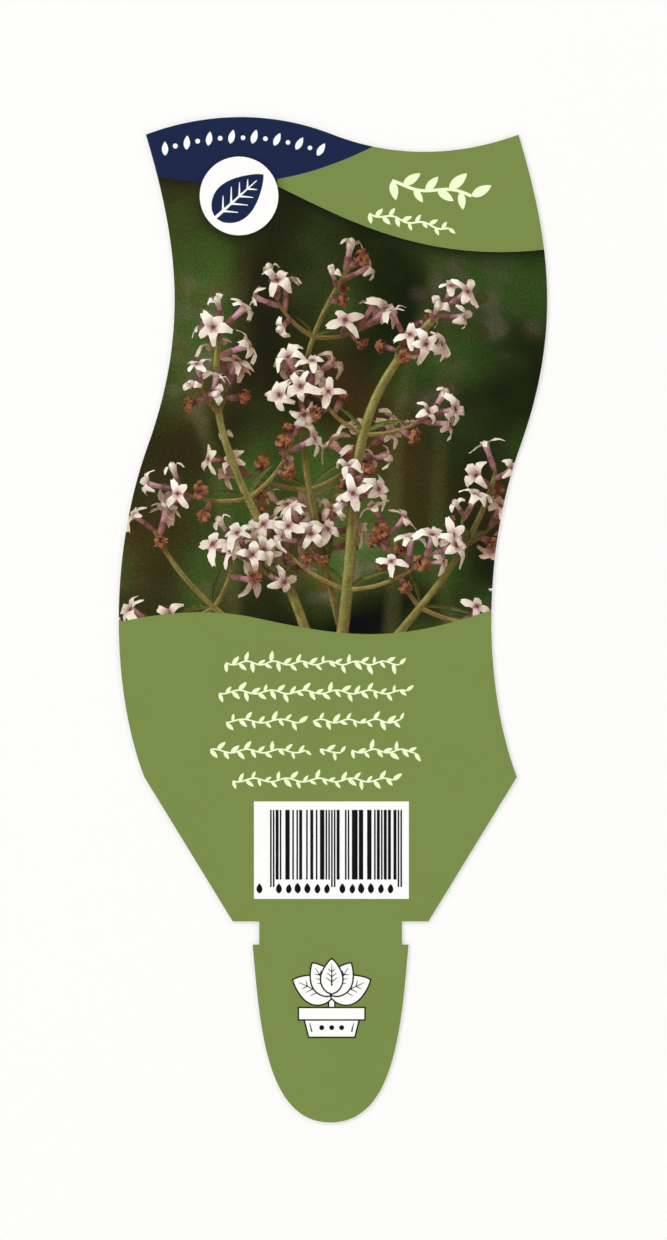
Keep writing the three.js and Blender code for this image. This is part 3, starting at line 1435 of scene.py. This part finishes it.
def smooth_curve(name, routes):
    """An object with a smooth spline for each (width, route of given points)."""
    curve = bpy.data.curves.new(name, "CURVE")
    curve.dimensions = "3D"
    for width, route in routes:
        spline = curve.splines.new("NURBS")
        spline.points.add(len(route) - 1)
        for point, place in zip(spline.points, route):
            point.co = (*place, 1.0)
            point.radius = width
        spline.order_u = min(4, len(route))
        spline.use_endpoint_u = True
        spline.resolution_u = 8
    motifs.append(add_object(name, curve))
    return motifs[-1]


leaf_pair = model("leaf pair", *join_parts([lance_leaf(1), lance_leaf(-1)]))
shoot_pair = smooth_curve(
    "shoot pair", [(SHOOT_WIDTH, SHOOT), (SHOOT_WIDTH, [(-x, y, z) for x, y, z in SHOOT])],
)
stalks = smooth_curve("stalks", STALKS)
print("sprigs", len(STALKS))

# %% [markdown]
# A stem is a ring swept along its curve, with a mottled colour and lighter ridges. Stems
# and blossoms keep some values of their own as named attributes: the paint, how far along
# its curve each lies, and a tint that makes one blossom a little lighter than the next.

# %% Stems
STEM_OLIVE = printed(100, 100, 48)
STEM_LIGHT = printed(168, 162, 100)
SHOOT_BROWN = printed(122, 90, 56)


def store(tree, geometry, name, value, kind="FLOAT", domain="POINT"):
    return add_node(
        tree, "GeometryNodeStoreNamedAttribute", {"data_type": kind, "domain": domain},
        {"Geometry": geometry, "Name": name, "Value": value},
    )


def marked_points(tree, curve, spacing, name):
    """Points along a curve. Each keeps how far along it lies, from 0 to 1, under that name."""
    spaced = resample(tree, curve, spacing)
    marked = store(tree, spaced, name, add_node(tree, "GeometryNodeSplineParameter"))
    mark = add_node(
        tree, "GeometryNodeInputNamedAttribute", {"data_type": "FLOAT"}, {"Name": name},
        output="Attribute",
    )
    return points_of(tree, marked), mark


def stem_mesh(tree, curve, spacing, shade):
    """A tapering stem along each curve, as wide as the curve's radius says."""
    along = add_node(tree, "GeometryNodeSplineParameter")
    ring = add_node(tree, "GeometryNodeCurvePrimitiveCircle", values={"Resolution": 8, "Radius": 0.5})
    width = add_node(tree, "GeometryNodeInputRadius") * (1.1 - along * 0.5)
    swept = {"Curve": resample(tree, curve, spacing), "Profile Curve": ring, "Scale": width}
    mesh = add_node(tree, "GeometryNodeCurveToMesh", values=swept)
    mottle = add_node(tree, "ShaderNodeTexNoise", values={"Scale": 0.9, "Detail": 2.0})
    ridge = index_of(tree) % 2.0
    paint = blend(tree, mottle * 1.6 + ridge * 0.45 - 0.5, shade, STEM_LIGHT)
    return store(tree, mesh, "paint", paint, "FLOAT_COLOR")


# %% [markdown]
# Blossoms sit round a shoot by the golden angle, so that none stands right over the last,
# and their faces are drawn a little towards the viewer. Most spent ones sit further in, and
# the tips have more half open ones.

# %% Seats of the blossoms
GOLDEN_TURN = math.radians(137.5)
OPEN_KINDS = (0, 2)
HALF_OPEN_KIND = 3
SPENT_KIND = 4


def blossom_turn(tree, seats, outwards, seed, pull):
    """The turn of each blossom: round its shoot by the golden angle, and up towards the tip."""
    azimuth = index_of(tree) * GOLDEN_TURN + random_value(tree, -0.5, 0.5, seed + 3)
    tilt = random_value(tree, 1.0, 1.5, seed + 4) - outwards * 0.7
    sine = tilt.apply("SINE")
    outward = combine(
        tree, X=sine * azimuth.apply("COSINE"), Y=sine * azimuth.apply("SINE"), Z=tilt.apply("COSINE"),
    )
    values = {"Vector": outward, "Rotation": seats.other("Rotation")}
    pointing = add_node(tree, "FunctionNodeRotateVector", values=values)
    facing = vector_maths(tree, "ADD", {0: pointing, 1: combine(tree, Z=pull)})
    spin = about_z(tree, random_value(tree, 0.0, 2 * math.pi, seed + 5))
    values = {"Rotation": spin, "Vector": facing}
    return add_node(tree, "FunctionNodeAlignRotationToVector", {"axis": "Z"}, values)


def blossom_kind(tree, outwards, seed):
    """The number of each blossom's kind, by its age and its place on the shoot."""
    age = random_value(tree, 0.0, 1.0, seed + 6)
    spent = age < (outwards < 0.3) * 0.45 + 0.1
    half_open = age > 0.88 - (outwards > 0.85) * 0.36
    open_kind = random_value(tree, *OPEN_KINDS, seed + 7, "INT")
    return spent * SPENT_KIND + half_open * HALF_OPEN_KIND + (1 - spent - half_open) * open_kind


print("from one blossom to the next", round(math.degrees(GOLDEN_TURN), 1), "degrees")

# %% [markdown]
# The tree grows the sprigs. It marks knots along each stalk and turns each pair of leaves
# and of shoots about a quarter turn from the last, as herbs of this kind do. Blossoms go on
# the outer part of every shoot and on the tips of the stalks. Places along a stalk are
# shares of its length.

# %% Sprig tree
FIRST_KNOT = 0.14
LAST_KNOT = 0.96
TIP_START = 0.9


def sprig_tree():
    tree, given = new_tree("sprigs", [
        ("Stalks", "Object", None), ("Shoots", "Object", None), ("Leaves", "Object", None),
        ("Blossoms", "Collection", None), ("Knot spacing", "Float", 12.0),
        ("Blossom spacing", "Float", 1.4), ("Blossom scale", "Float", 1.0), ("Leaf scale", "Float", 0.8),
        ("Bare share", "Float", 0.5), ("Towards viewer", "Float", 0.38), ("Seed", "Int", 1),
        ("Ink", "Material", None),
    ])
    seed = given("Seed")
    stalk_curves = shape_of(tree, given("Stalks"))
    knots, along = marked_points(tree, stalk_curves, given("Knot spacing"), "along")
    quarter = index_of(tree) * (math.pi / 2) + random_value(tree, -0.4, 0.4, seed)
    at_knots = {
        "Rotation": turn_further(tree, knots.other("Rotation"), quarter),
        "Selection": (along > FIRST_KNOT) * (along < LAST_KNOT),
    }
    shoot_size = (1.12 - along * 0.6) * random_value(tree, 0.85, 1.15, seed + 1)
    shoots = stand_on(tree, knots, shape_of(tree, given("Shoots")), Scale=shoot_size, **at_knots)
    shoot_curves = add_node(tree, "GeometryNodeRealizeInstances", values={"Geometry": shoots})
    leaf_size = (1.1 - along * 0.7) * random_value(tree, 0.8, 1.1, seed + 2) * given("Leaf scale")
    leaves = stand_on(tree, knots, shape_of(tree, given("Leaves")), Scale=leaf_size, **at_knots)

    ends = []
    for curve, start in ((shoot_curves, given("Bare share")), (stalk_curves, TIP_START)):
        values = {"Curve": curve, "Start": start, "End": 1.0}
        ends.append(add_node(tree, "GeometryNodeTrimCurve", {"mode": "FACTOR"}, values))
    flowering = add_node(tree, "GeometryNodeJoinGeometry", values={"Geometry": ends})
    seats, outwards = marked_points(tree, flowering, given("Blossom spacing"), "outwards")
    heads = pick_on(
        tree, seats, given("Blossoms"), blossom_kind(tree, outwards, seed),
        Rotation=blossom_turn(tree, seats, outwards, seed, given("Towards viewer")),
        Scale=given("Blossom scale") * random_value(tree, 0.85, 1.15, seed + 8),
    )
    plants = add_node(tree, "GeometryNodeJoinGeometry", values={"Geometry": [leaves, heads]})
    tinted = store(tree, plants, "tint", random_value(tree, -1.0, 1.0, seed + 9), domain="INSTANCE")
    stalk_stems = stem_mesh(tree, stalk_curves, 1.6, STEM_OLIVE)
    shoot_stems = stem_mesh(tree, shoot_curves, 1.3, SHOOT_BROWN)
    finish_tree(tree, [stalk_stems, shoot_stems, tinted], given("Ink"))
    return tree


sprigs = grow(sprig_tree(), {
    "Stalks": stalks, "Shoots": shoot_pair, "Leaves": leaf_pair, "Blossoms": blossoms, "Seed": 4,
    "Knot spacing": 14.0, "Blossom spacing": 1.45, "Blossom scale": 1.2, "Ink": materials["picture inks"],
})
print("sprigs grown", len(sprigs.vertices), "points", len(sprigs.polygons), "faces")

# %% [markdown]
# ## Lighting the sprigs
#
# The print holds the picture's own light, so it is worked out here once and painted in.
# A map of the highest point in each small cell of the picture serves three ends: faces
# that nothing shows of are left out, points that a nearer part stands in front of are
# darkened, and points behind something towards the lamp lie in its shadow.

# %% Height map
CELL = 0.14
MAP_LEFT = -44.0
MAP_FOOT = -12.0
MAP_WIDTH = 90
MAP_HEIGHT = 102
MAP_COLUMNS = int(MAP_WIDTH / CELL)
MAP_ROWS = int(MAP_HEIGHT / CELL)
EMPTY = -500.0
UPRIGHT_AREA = 1e-4


def read_out(items, name, width, kind=float):
    """One property of all items of a mesh, as an array with a row for each."""
    values = np.empty(len(items) * width, kind)
    items.foreach_get(name, values)
    return values.reshape(-1, width)


def cells_of(x, y):
    column = np.clip(((x - MAP_LEFT) / CELL).astype(int), 0, MAP_COLUMNS - 1)
    row = np.clip(((y - MAP_FOOT) / CELL).astype(int), 0, MAP_ROWS - 1)
    return row, column


def cells_between(ends, start, count):
    """The first cell that some coordinates reach, and the first one past them."""
    return max(int((min(ends) - start) / CELL), 0), min(int((max(ends) - start) / CELL) + 1, count)


def height_map(points, triangles):
    """The highest point over each cell, and the triangle that it belongs to."""
    heights = np.full((MAP_ROWS, MAP_COLUMNS), EMPTY)
    owners = np.full((MAP_ROWS, MAP_COLUMNS), -1)
    for number, (a, b, c) in enumerate(points[triangles]):
        area = (b[0] - a[0]) * (c[1] - a[1]) - (b[1] - a[1]) * (c[0] - a[0])
        if abs(area) < UPRIGHT_AREA:
            continue
        left, right = cells_between((a[0], b[0], c[0]), MAP_LEFT, MAP_COLUMNS)
        foot, top = cells_between((a[1], b[1], c[1]), MAP_FOOT, MAP_ROWS)
        if left >= right or foot >= top:
            continue
        x = MAP_LEFT + (np.arange(left, right) + 0.5) * CELL
        y = (MAP_FOOT + (np.arange(foot, top) + 0.5) * CELL)[:, None]
        share_b = ((x - a[0]) * (c[1] - a[1]) - (y - a[1]) * (c[0] - a[0])) / area
        share_c = ((b[0] - a[0]) * (y - a[1]) - (b[1] - a[1]) * (x - a[0])) / area
        height = a[2] + share_b * (b[2] - a[2]) + share_c * (c[2] - a[2])
        window = heights[foot:top, left:right]
        above = (share_b >= 0) & (share_c >= 0) & (share_b + share_c <= 1) & (height > window)
        window[above] = height[above]
        owners[foot:top, left:right][above] = number
    return heights, owners


sprigs.calc_loop_triangles()
points = read_out(sprigs.vertices, "co", 3)
triangles = read_out(sprigs.loop_triangles, "vertices", 3, int)
heights, owners = height_map(points, triangles)
print("height map", heights.shape, "cells,", round((owners >= 0).mean() * 100), "% under the sprigs")

# %% [markdown]
# The light is a warm lamp from the upper left and a dim sky. Parts that lie deep get less
# of it, and all shade is a little rosy, as in petals that light comes through. What shows
# goes into the pile, one triangle at a time.

# %% Light on the sprigs
LAMP = np.array([-0.50, 0.55, 0.67])
LAMP_LIGHT = np.array([0.785, 0.80, 0.765])
SKY_LIGHT = np.array([0.39, 0.375, 0.33])
FAR_LIGHT = np.array([0.58, 0.52, 0.47])
SHADE_TINT = np.array([0.82, 1.0, 1.12])
DEPTH_START = -10.0
DEPTH_SPAN = 18.0
LOOK_ROUND = (0.5, 1.1, 2.0)
LOOK_TURNS = 8
SHADOW_STEP = 0.45
SHADOW_STEPS = 8
SHADOW_BLUR = 0.9
JUST_UNDER = 0.05


def openness(points, heights):
    """How freely each point is seen and lit, from 0 to 1: (round about, towards the lamp)."""
    x, y, z = points.T
    covered = np.zeros(len(points))
    for reach in LOOK_ROUND:
        for turn in np.arange(LOOK_TURNS) * (2 * math.pi / LOOK_TURNS):
            near = heights[cells_of(x + reach * math.cos(turn), y + reach * math.sin(turn))]
            covered += np.clip((near - z - 0.2) / (1.2 + reach), 0, 1)
    shadow = np.zeros(len(points))
    for step in np.arange(1, SHADOW_STEPS + 1) * SHADOW_STEP:
        ahead = heights[cells_of(x + LAMP[0] * step, y + LAMP[1] * step)]
        above_ray = ahead - z - LAMP[2] * step - 0.15
        shadow = np.maximum(shadow, np.clip(above_ray / SHADOW_BLUR, 0, 1))
    return 1 - covered / (len(LOOK_ROUND) * LOOK_TURNS), 1 - shadow


def lit_paint(mesh, points, heights):
    """The mesh's paint under the picture's light. Petals are lit from either side."""
    normals = read_out(mesh.vertex_normals, "vector", 3)
    facing = normals * np.where(normals[:, 2:] < 0, -1.0, 1.0)
    lambert = np.clip(facing @ LAMP, 0, 1)
    around, towards = openness(points, heights)
    direct = (lambert * (0.25 + 0.75 * towards))[:, None] * LAMP_LIGHT
    light = (direct + SKY_LIGHT) * (0.3 + 0.7 * around[:, None] ** 1.4)
    depth = np.clip((points[:, 2:] - DEPTH_START) / DEPTH_SPAN, 0, 1)
    tint = read_out(mesh.attributes["tint"].data, "value", 1)
    light *= (FAR_LIGHT + (1 - FAR_LIGHT) * depth) * (1 + 0.10 * tint)
    lit = read_out(mesh.attributes["paint"].data, "color", 4)
    lit[:, :3] = np.clip(lit[:, :3] * light ** SHADE_TINT, 0, 1)
    return lit


on_top = np.zeros(len(triangles), bool)
on_top[np.unique(owners[owners >= 0])] = True
middles = points[triangles].mean(1)
near_top = middles[:, 2] > heights[cells_of(middles[:, 0], middles[:, 1])] - JUST_UNDER
kept = triangles[on_top | near_top]
values = np.concatenate([points[:, 2:], lit_paint(sprigs, points, heights)], 1)
pile.add_triangles(points, kept, "picture inks", values)
print("sprigs", len(triangles), "triangles, of which", len(kept), "show")

# %% [markdown]
# ## Pressing the pile flat
#
# Blender's constrained Delaunay triangulation cuts all the shapes along each other's edges
# and tells for each small triangle which shapes cover it. It may very rarely lose the
# inside of a tiny shape and count it everywhere, so a shape only counts within its own box.

# %% Cutting the shapes apart
STRAY = 0.01
CUT_NEARNESS = 1e-5


def cut_apart(pile):
    """Gives points, small triangles, and pairs of (triangle, shape) for all that lies over each."""
    spots, _, cut, _, _, sources = delaunay_2d_cdt(
        [Vector(point) for point in pile.points], [], pile.faces, 0, CUT_NEARNESS, True,
    )
    inside = [number for number, shapes in enumerate(sources) if 0 in shapes]
    spots = np.array([tuple(spot) for spot in spots])
    cut = np.array([cut[number] for number in inside])
    triangle = np.concatenate([[place] * len(sources[number]) for place, number in enumerate(inside)])
    shape = np.concatenate([sources[number] for number in inside]).astype(int)
    corners = [np.array([pile.points[corner] for corner in face]) for face in pile.faces]
    lowest = np.array([face.min(0) for face in corners])[shape] - STRAY
    highest = np.array([face.max(0) for face in corners])[shape] + STRAY
    middle = spots[cut].mean(1)[triangle]
    within = ((middle > lowest) & (middle < highest)).all(1)
    return spots, cut, triangle[within], shape[within]


spots, cut, triangle, shape = cut_apart(pile)
print("cut into", len(cut), "triangles")

# %% [markdown]
# Of the shapes over a triangle, only the topmost inked one shows, with the shades over it.
# These make its stack. Plain ink counts as one shape, whichever motif it belongs to, so
# that triangles with like stacks can be joined again.

# %% What shows
def alike_shapes(pile):
    """Each shape's number, or where it is plain ink, the first shape's with that ink."""
    first = {}
    numbers = []
    for number, (ink, field) in enumerate(zip(pile.inks, pile.fields)):
        plain = ink is not None and not field[:, 1:].any()
        numbers.append(first.setdefault(ink, number) if plain else number)
    return np.array(numbers)


def visible_stacks(pile, spots, cut, triangle, shape):
    """Gives all the stacks there are, from the bottom up, and the row of each triangle's one."""
    middle = with_ones(spots[cut].mean(1))
    height = np.einsum("ni,ni->n", middle[triangle], np.array(pile.fields)[shape][:, :, 0])
    order = np.lexsort((height, triangle))
    triangle = triangle[order]
    shape = shape[order]
    rank = np.arange(len(triangle)) - np.searchsorted(triangle, triangle)
    inked = np.array([ink is not None for ink in pile.inks])
    base = np.zeros(len(cut), int)
    np.maximum.at(base, triangle, np.where(inked[shape], rank, 0))
    level = rank - base[triangle]
    shows = level >= 0
    layers = np.full((len(cut), level.max() + 1), -1)
    layers[triangle[shows], level[shows]] = alike_shapes(pile)[shape[shows]]
    stacks, row = np.unique(layers, axis=0, return_inverse=True)
    return stacks, row.ravel()


stacks, row = visible_stacks(pile, spots, cut, triangle, shape)
print(len(stacks), "different stacks")

# %% [markdown]
# Most of the cut edges lie under something that hides them. Limited Dissolve joins all
# triangles of one plane up to the edges marked as seams, and here those are the edges
# between unlike stacks. What is left is cut into triangles once more, about a third as
# many.

# %% Joining what is alike
STRAIGHT = math.radians(0.2)


def join_alike(spots, cut, row):
    """The same map with no edge inside a stack: its points, its triangles and their rows."""
    flat = bpy.data.meshes.new("map")
    flat.from_pydata([(x, y, 0.0) for x, y in spots], [], cut.tolist())
    sheet = bmesh.new()
    sheet.from_mesh(flat)
    bpy.data.meshes.remove(flat)
    stack = sheet.faces.layers.int.new("stack")
    for face, value in zip(sheet.faces, row.tolist()):
        face[stack] = value
    for edge in sheet.edges:
        edge.seam = len({face[stack] for face in edge.link_faces}) > 1
    bmesh.ops.dissolve_limit(
        sheet, angle_limit=STRAIGHT, use_dissolve_boundaries=False,
        verts=sheet.verts, edges=sheet.edges, delimit={"SEAM"},
    )
    bmesh.ops.triangulate(sheet, faces=sheet.faces, quad_method="BEAUTY", ngon_method="BEAUTY")
    bmesh.ops.delete(sheet, geom=[vert for vert in sheet.verts if not vert.link_faces], context="VERTS")
    sheet.verts.index_update()
    joined = np.array([[vert.index for vert in face.verts] for face in sheet.faces])
    rows = np.array([face[stack] for face in sheet.faces])
    places = np.array([vert.co.xy for vert in sheet.verts])
    sheet.free()
    return places, joined, rows


spots, front, row = join_alike(spots, cut, row)
winding = np.cross(spots[front[:, 1]] - spots[front[:, 0]], spots[front[:, 2]] - spots[front[:, 0]])
front[winding < 0] = front[winding < 0][:, ::-1]
print("joined to", len(front), "triangles")

# %% [markdown]
# Each stack is laid down from the bottom up, separately at each corner, so that shades run
# smoothly: what is there already keeps the share that the next layer's cover leaves.

# %% Laying down the layers
def lay_down(pile, spots, front, stacks, row):
    """The inks of the map's triangles, and the overprint at their corners."""
    fields = np.array(pile.fields)
    corners = with_ones(spots[front])
    overprint = np.zeros((len(front), 3, 4))
    for shape in stacks[row].T:
        present = shape >= 0
        laid = np.clip(corners[present] @ fields[shape[present]][:, :, 1:], 0, 1)
        overprint[present] = laid + overprint[present] * (1 - laid[:, :, 3:])
    return [pile.inks[number] for number in stacks[row, 0]], overprint


front_inks, overprint = lay_down(pile, spots, front, stacks, row)
print("triangles with an overprint", int(overprint.any((1, 2)).sum()))

# %% [markdown]
# ## The sheet
#
# The front is the pressed map. Its rim is walked in order, and each of its points knows
# its place on the outline, so the rolled edge, the cut wall and the back follow it with no
# gap. The result is one closed body.

# %% Rim of the map
def rim_loop(triangles):
    """The points round the rim of a triangulated face, in order, anticlockwise."""
    edges = np.concatenate([triangles[:, [0, 1]], triangles[:, [1, 2]], triangles[:, [2, 0]]])
    present = set(map(tuple, edges))
    following = {start: end for start, end in present if (end, start) not in present}
    loop = [next(iter(following))]
    while following[loop[-1]] != loop[0]:
        loop.append(following[loop[-1]])
    assert len(loop) == len(following)
    return loop


def partner(spot, inner, outer):
    """The point on the outer loop that stands opposite a point of the inner loop."""
    run = np.roll(inner, -1, 0) - inner
    share = np.clip(((spot - inner) * run).sum(1) / (run * run).sum(1), 0, 1)
    gap = np.linalg.norm(inner + run * share[:, None] - spot, axis=1)
    best = gap.argmin()
    return outer[best] + (np.roll(outer, -1, 0)[best] - outer[best]) * share[best]


loop = rim_loop(front)
inner_loop = spots[loop]
outer_loop = np.array([partner(spot, print_rim, sheet_rim) for spot in inner_loop])
print("rim of the print", len(loop), "points")

# %% [markdown]
# The rolled edge is a quarter round. Sheets are printed before they are cut, so the ink
# goes round it and only the wall below is bare. At the back the cut leaves a small bevel.

# %% Edge profile
ROLL_TURNS = (25, 50, 75, 90)
INKED_RINGS = len(ROLL_TURNS)
BACK_BEVEL = 0.03
BACK_NEARNESS = 1e-6
profile = [
    (math.sin(math.radians(turn)), THICKNESS - ROLL * (1 - math.cos(math.radians(turn))))
    for turn in ROLL_TURNS
]
profile.append((1.0, BACK_BEVEL))
profile.append((1.0 - BACK_BEVEL / ROLL, 0.0))
print("edge", len(profile), "rings, of which", INKED_RINGS, "are printed")

# %% [markdown]
# The rings are laid round the front, each a little further out and lower, and the last one
# is filled in as the back. A face of the rim takes its ink and its overprint from the front
# triangle that it adjoins.

# %% Build the sheet
def build_sheet():
    points = [(x, y, THICKNESS) for x, y in spots]
    ring = list(loop)
    count = len(ring)
    rim_faces = []
    for share, height in profile:
        ring_spots = inner_loop + (outer_loop - inner_loop) * share
        new_ring = list(range(len(points), len(points) + count))
        points.extend((x, y, height) for x, y in ring_spots)
        for step in range(count):
            after = (step + 1) % count
            rim_faces.append((ring[step], new_ring[step], new_ring[after], ring[after]))
        ring = new_ring
    _, _, back_cut, names, _, covering = delaunay_2d_cdt(
        [Vector(spot) for spot in ring_spots], [], [list(range(count))], 0, BACK_NEARNESS, True,
    )
    back_faces = [
        tuple(ring[names[corner][0]] for corner in reversed(face))
        for face, shapes in zip(back_cut, covering) if shapes
    ]
    return points, [tuple(triangle) for triangle in front], rim_faces, back_faces


def rim_print():
    """The inks of the rim's faces, and the overprint at their corners, carried on from the front."""
    owner = {}
    for face, triangle in enumerate(front.tolist()):
        for corner in range(3):
            owner[triangle[corner], triangle[(corner + 1) % 3]] = face, corner
    inks = []
    covers = []
    for step in range(len(loop)):
        face, corner = owner[loop[step], loop[(step + 1) % len(loop)]]
        start = overprint[face, corner]
        end = overprint[face, (corner + 1) % 3]
        inks.append(front_inks[face])
        covers.append([start, start, end, end])
    bare_rings = len(profile) - INKED_RINGS
    covers = np.concatenate([covers * INKED_RINGS, np.zeros((bare_rings * len(loop), 4, 4))])
    return inks * INKED_RINGS + ["white plastic"] * len(loop) * bare_rings, covers


sheet_points, front_faces, rim_faces, back_faces = build_sheet()
rim_inks, rim_overprint = rim_print()
print("faces", len(front_faces), "front", len(rim_faces), "rim", len(back_faces), "back")

# %% [markdown]
# The mesh holds the faces in that order: front, rim, back. Every face has its ink as its
# material, and every corner its overprint, which is nothing on the bare plastic.

# %% Label object
def used_only(points, faces):
    """Drops points that no face uses, and gives the points and faces with new numbers."""
    used = sorted({corner for face in faces for corner in face})
    number = {old: new for new, old in enumerate(used)}
    return [points[old] for old in used], [tuple(number[corner] for corner in face) for face in faces]


all_points, all_faces = used_only(sheet_points, front_faces + rim_faces + back_faces)
sheet_mesh = bpy.data.meshes.new("printed_label")
sheet_mesh.from_pydata([tuple(value * MM for value in point) for point in all_points], [], all_faces)
slot_names = sorted(materials)
for name in slot_names:
    sheet_mesh.materials.append(materials[name])
face_inks = [*front_inks, *rim_inks, *["white plastic"] * len(back_faces)]
sheet_mesh.polygons.foreach_set("material_index", [slot_names.index(ink) for ink in face_inks])
printed_corners = np.concatenate([overprint.reshape(-1, 4), rim_overprint.reshape(-1, 4)])
colours = np.zeros((len(sheet_mesh.loops), 4))
colours[: len(printed_corners)] = printed_corners
layer = sheet_mesh.attributes.new("overprint", "FLOAT_COLOR", "CORNER")
layer.data.foreach_set("color", colours.ravel())
label = add_object("printed_label", sheet_mesh)
print("label", len(sheet_mesh.vertices), "points")

# %% [markdown]
# The UV map only serves to carry the finish to other programs. The front gets most of its
# width, the rim a narrow strip, and the plain back the rest.

# %% UV map
FRONT_SPAN = (0.02, 0.79)
RIM_SPAN = (0.803, 0.817)
BACK_SPAN = (0.83, 0.98)
UP_SPAN = (0.02, 0.98)


def spread(value, low_end, high_end, span):
    return span[0] + (span[1] - span[0]) * (value - low_end) / (high_end - low_end)


def add_uv(mesh):
    left, foot = sheet_rim.min(0) * MM
    right, top = sheet_rim.max(0) * MM
    places = read_out(mesh.vertices, "co", 3)
    across, up, _ = places[read_out(mesh.loops, "vertex_index", 1, int)[:, 0]].T
    flat = np.stack([spread(across, left, right, FRONT_SPAN), spread(up, foot, top, UP_SPAN)], 1)
    front_corners = len(front_faces) * 3
    back_start = front_corners + len(rim_faces) * 4
    flat[back_start:, 0] = spread(across[back_start:], right, left, BACK_SPAN)
    steps = np.linalg.norm(np.roll(inner_loop, -1, 0) - inner_loop, axis=1)
    marks = np.concatenate([[0], np.cumsum(steps)]) / steps.sum()
    for number in range(len(rim_faces)):
        ring, step = divmod(number, len(loop))
        corner = front_corners + number * 4
        inner_u, outer_u = (spread(edge, 0, len(profile), RIM_SPAN) for edge in (ring, ring + 1))
        near, far = (spread(mark, 0, 1, UP_SPAN) for mark in marks[step:step + 2])
        flat[corner:corner + 4] = [(inner_u, near), (outer_u, near), (outer_u, far), (inner_u, far)]
    mesh.uv_layers.new(name="OFBake").data.foreach_set("uv", flat.ravel())
    return flat


uv_spots = add_uv(sheet_mesh)
print("uv from", uv_spots.min(0).round(3), "to", uv_spots.max(0).round(3))

# %% [markdown]
# ## Fitting it to the frame
#
# The printed sheet rides on the only body and stands for the CAD sheet. The small models
# that the trees used are put away first. A last look makes sure that the mesh is closed
# and writes down the boxes of the frame and of the finished part.

# %% Hand over
for motif in motifs:
    bpy.data.objects.remove(motif)
for group in list(bpy.data.collections):
    bpy.data.collections.remove(group)
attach(label, "root")
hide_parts("label_sheet")


def is_closed(mesh):
    shell = bmesh.new()
    shell.from_mesh(mesh)
    closed = all(edge.is_manifold for edge in shell.edges)
    volume = shell.calc_volume() / MM ** 3
    shell.free()
    return closed, round(volume, 1)


print("closed, volume in mm3:", is_closed(sheet_mesh))


def plain(bounds):
    return [[round(float(value), 6) for value in corner] for corner in bounds]


size = {"cad": plain(cad_bounds), "visual": plain(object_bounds())}
print(size)
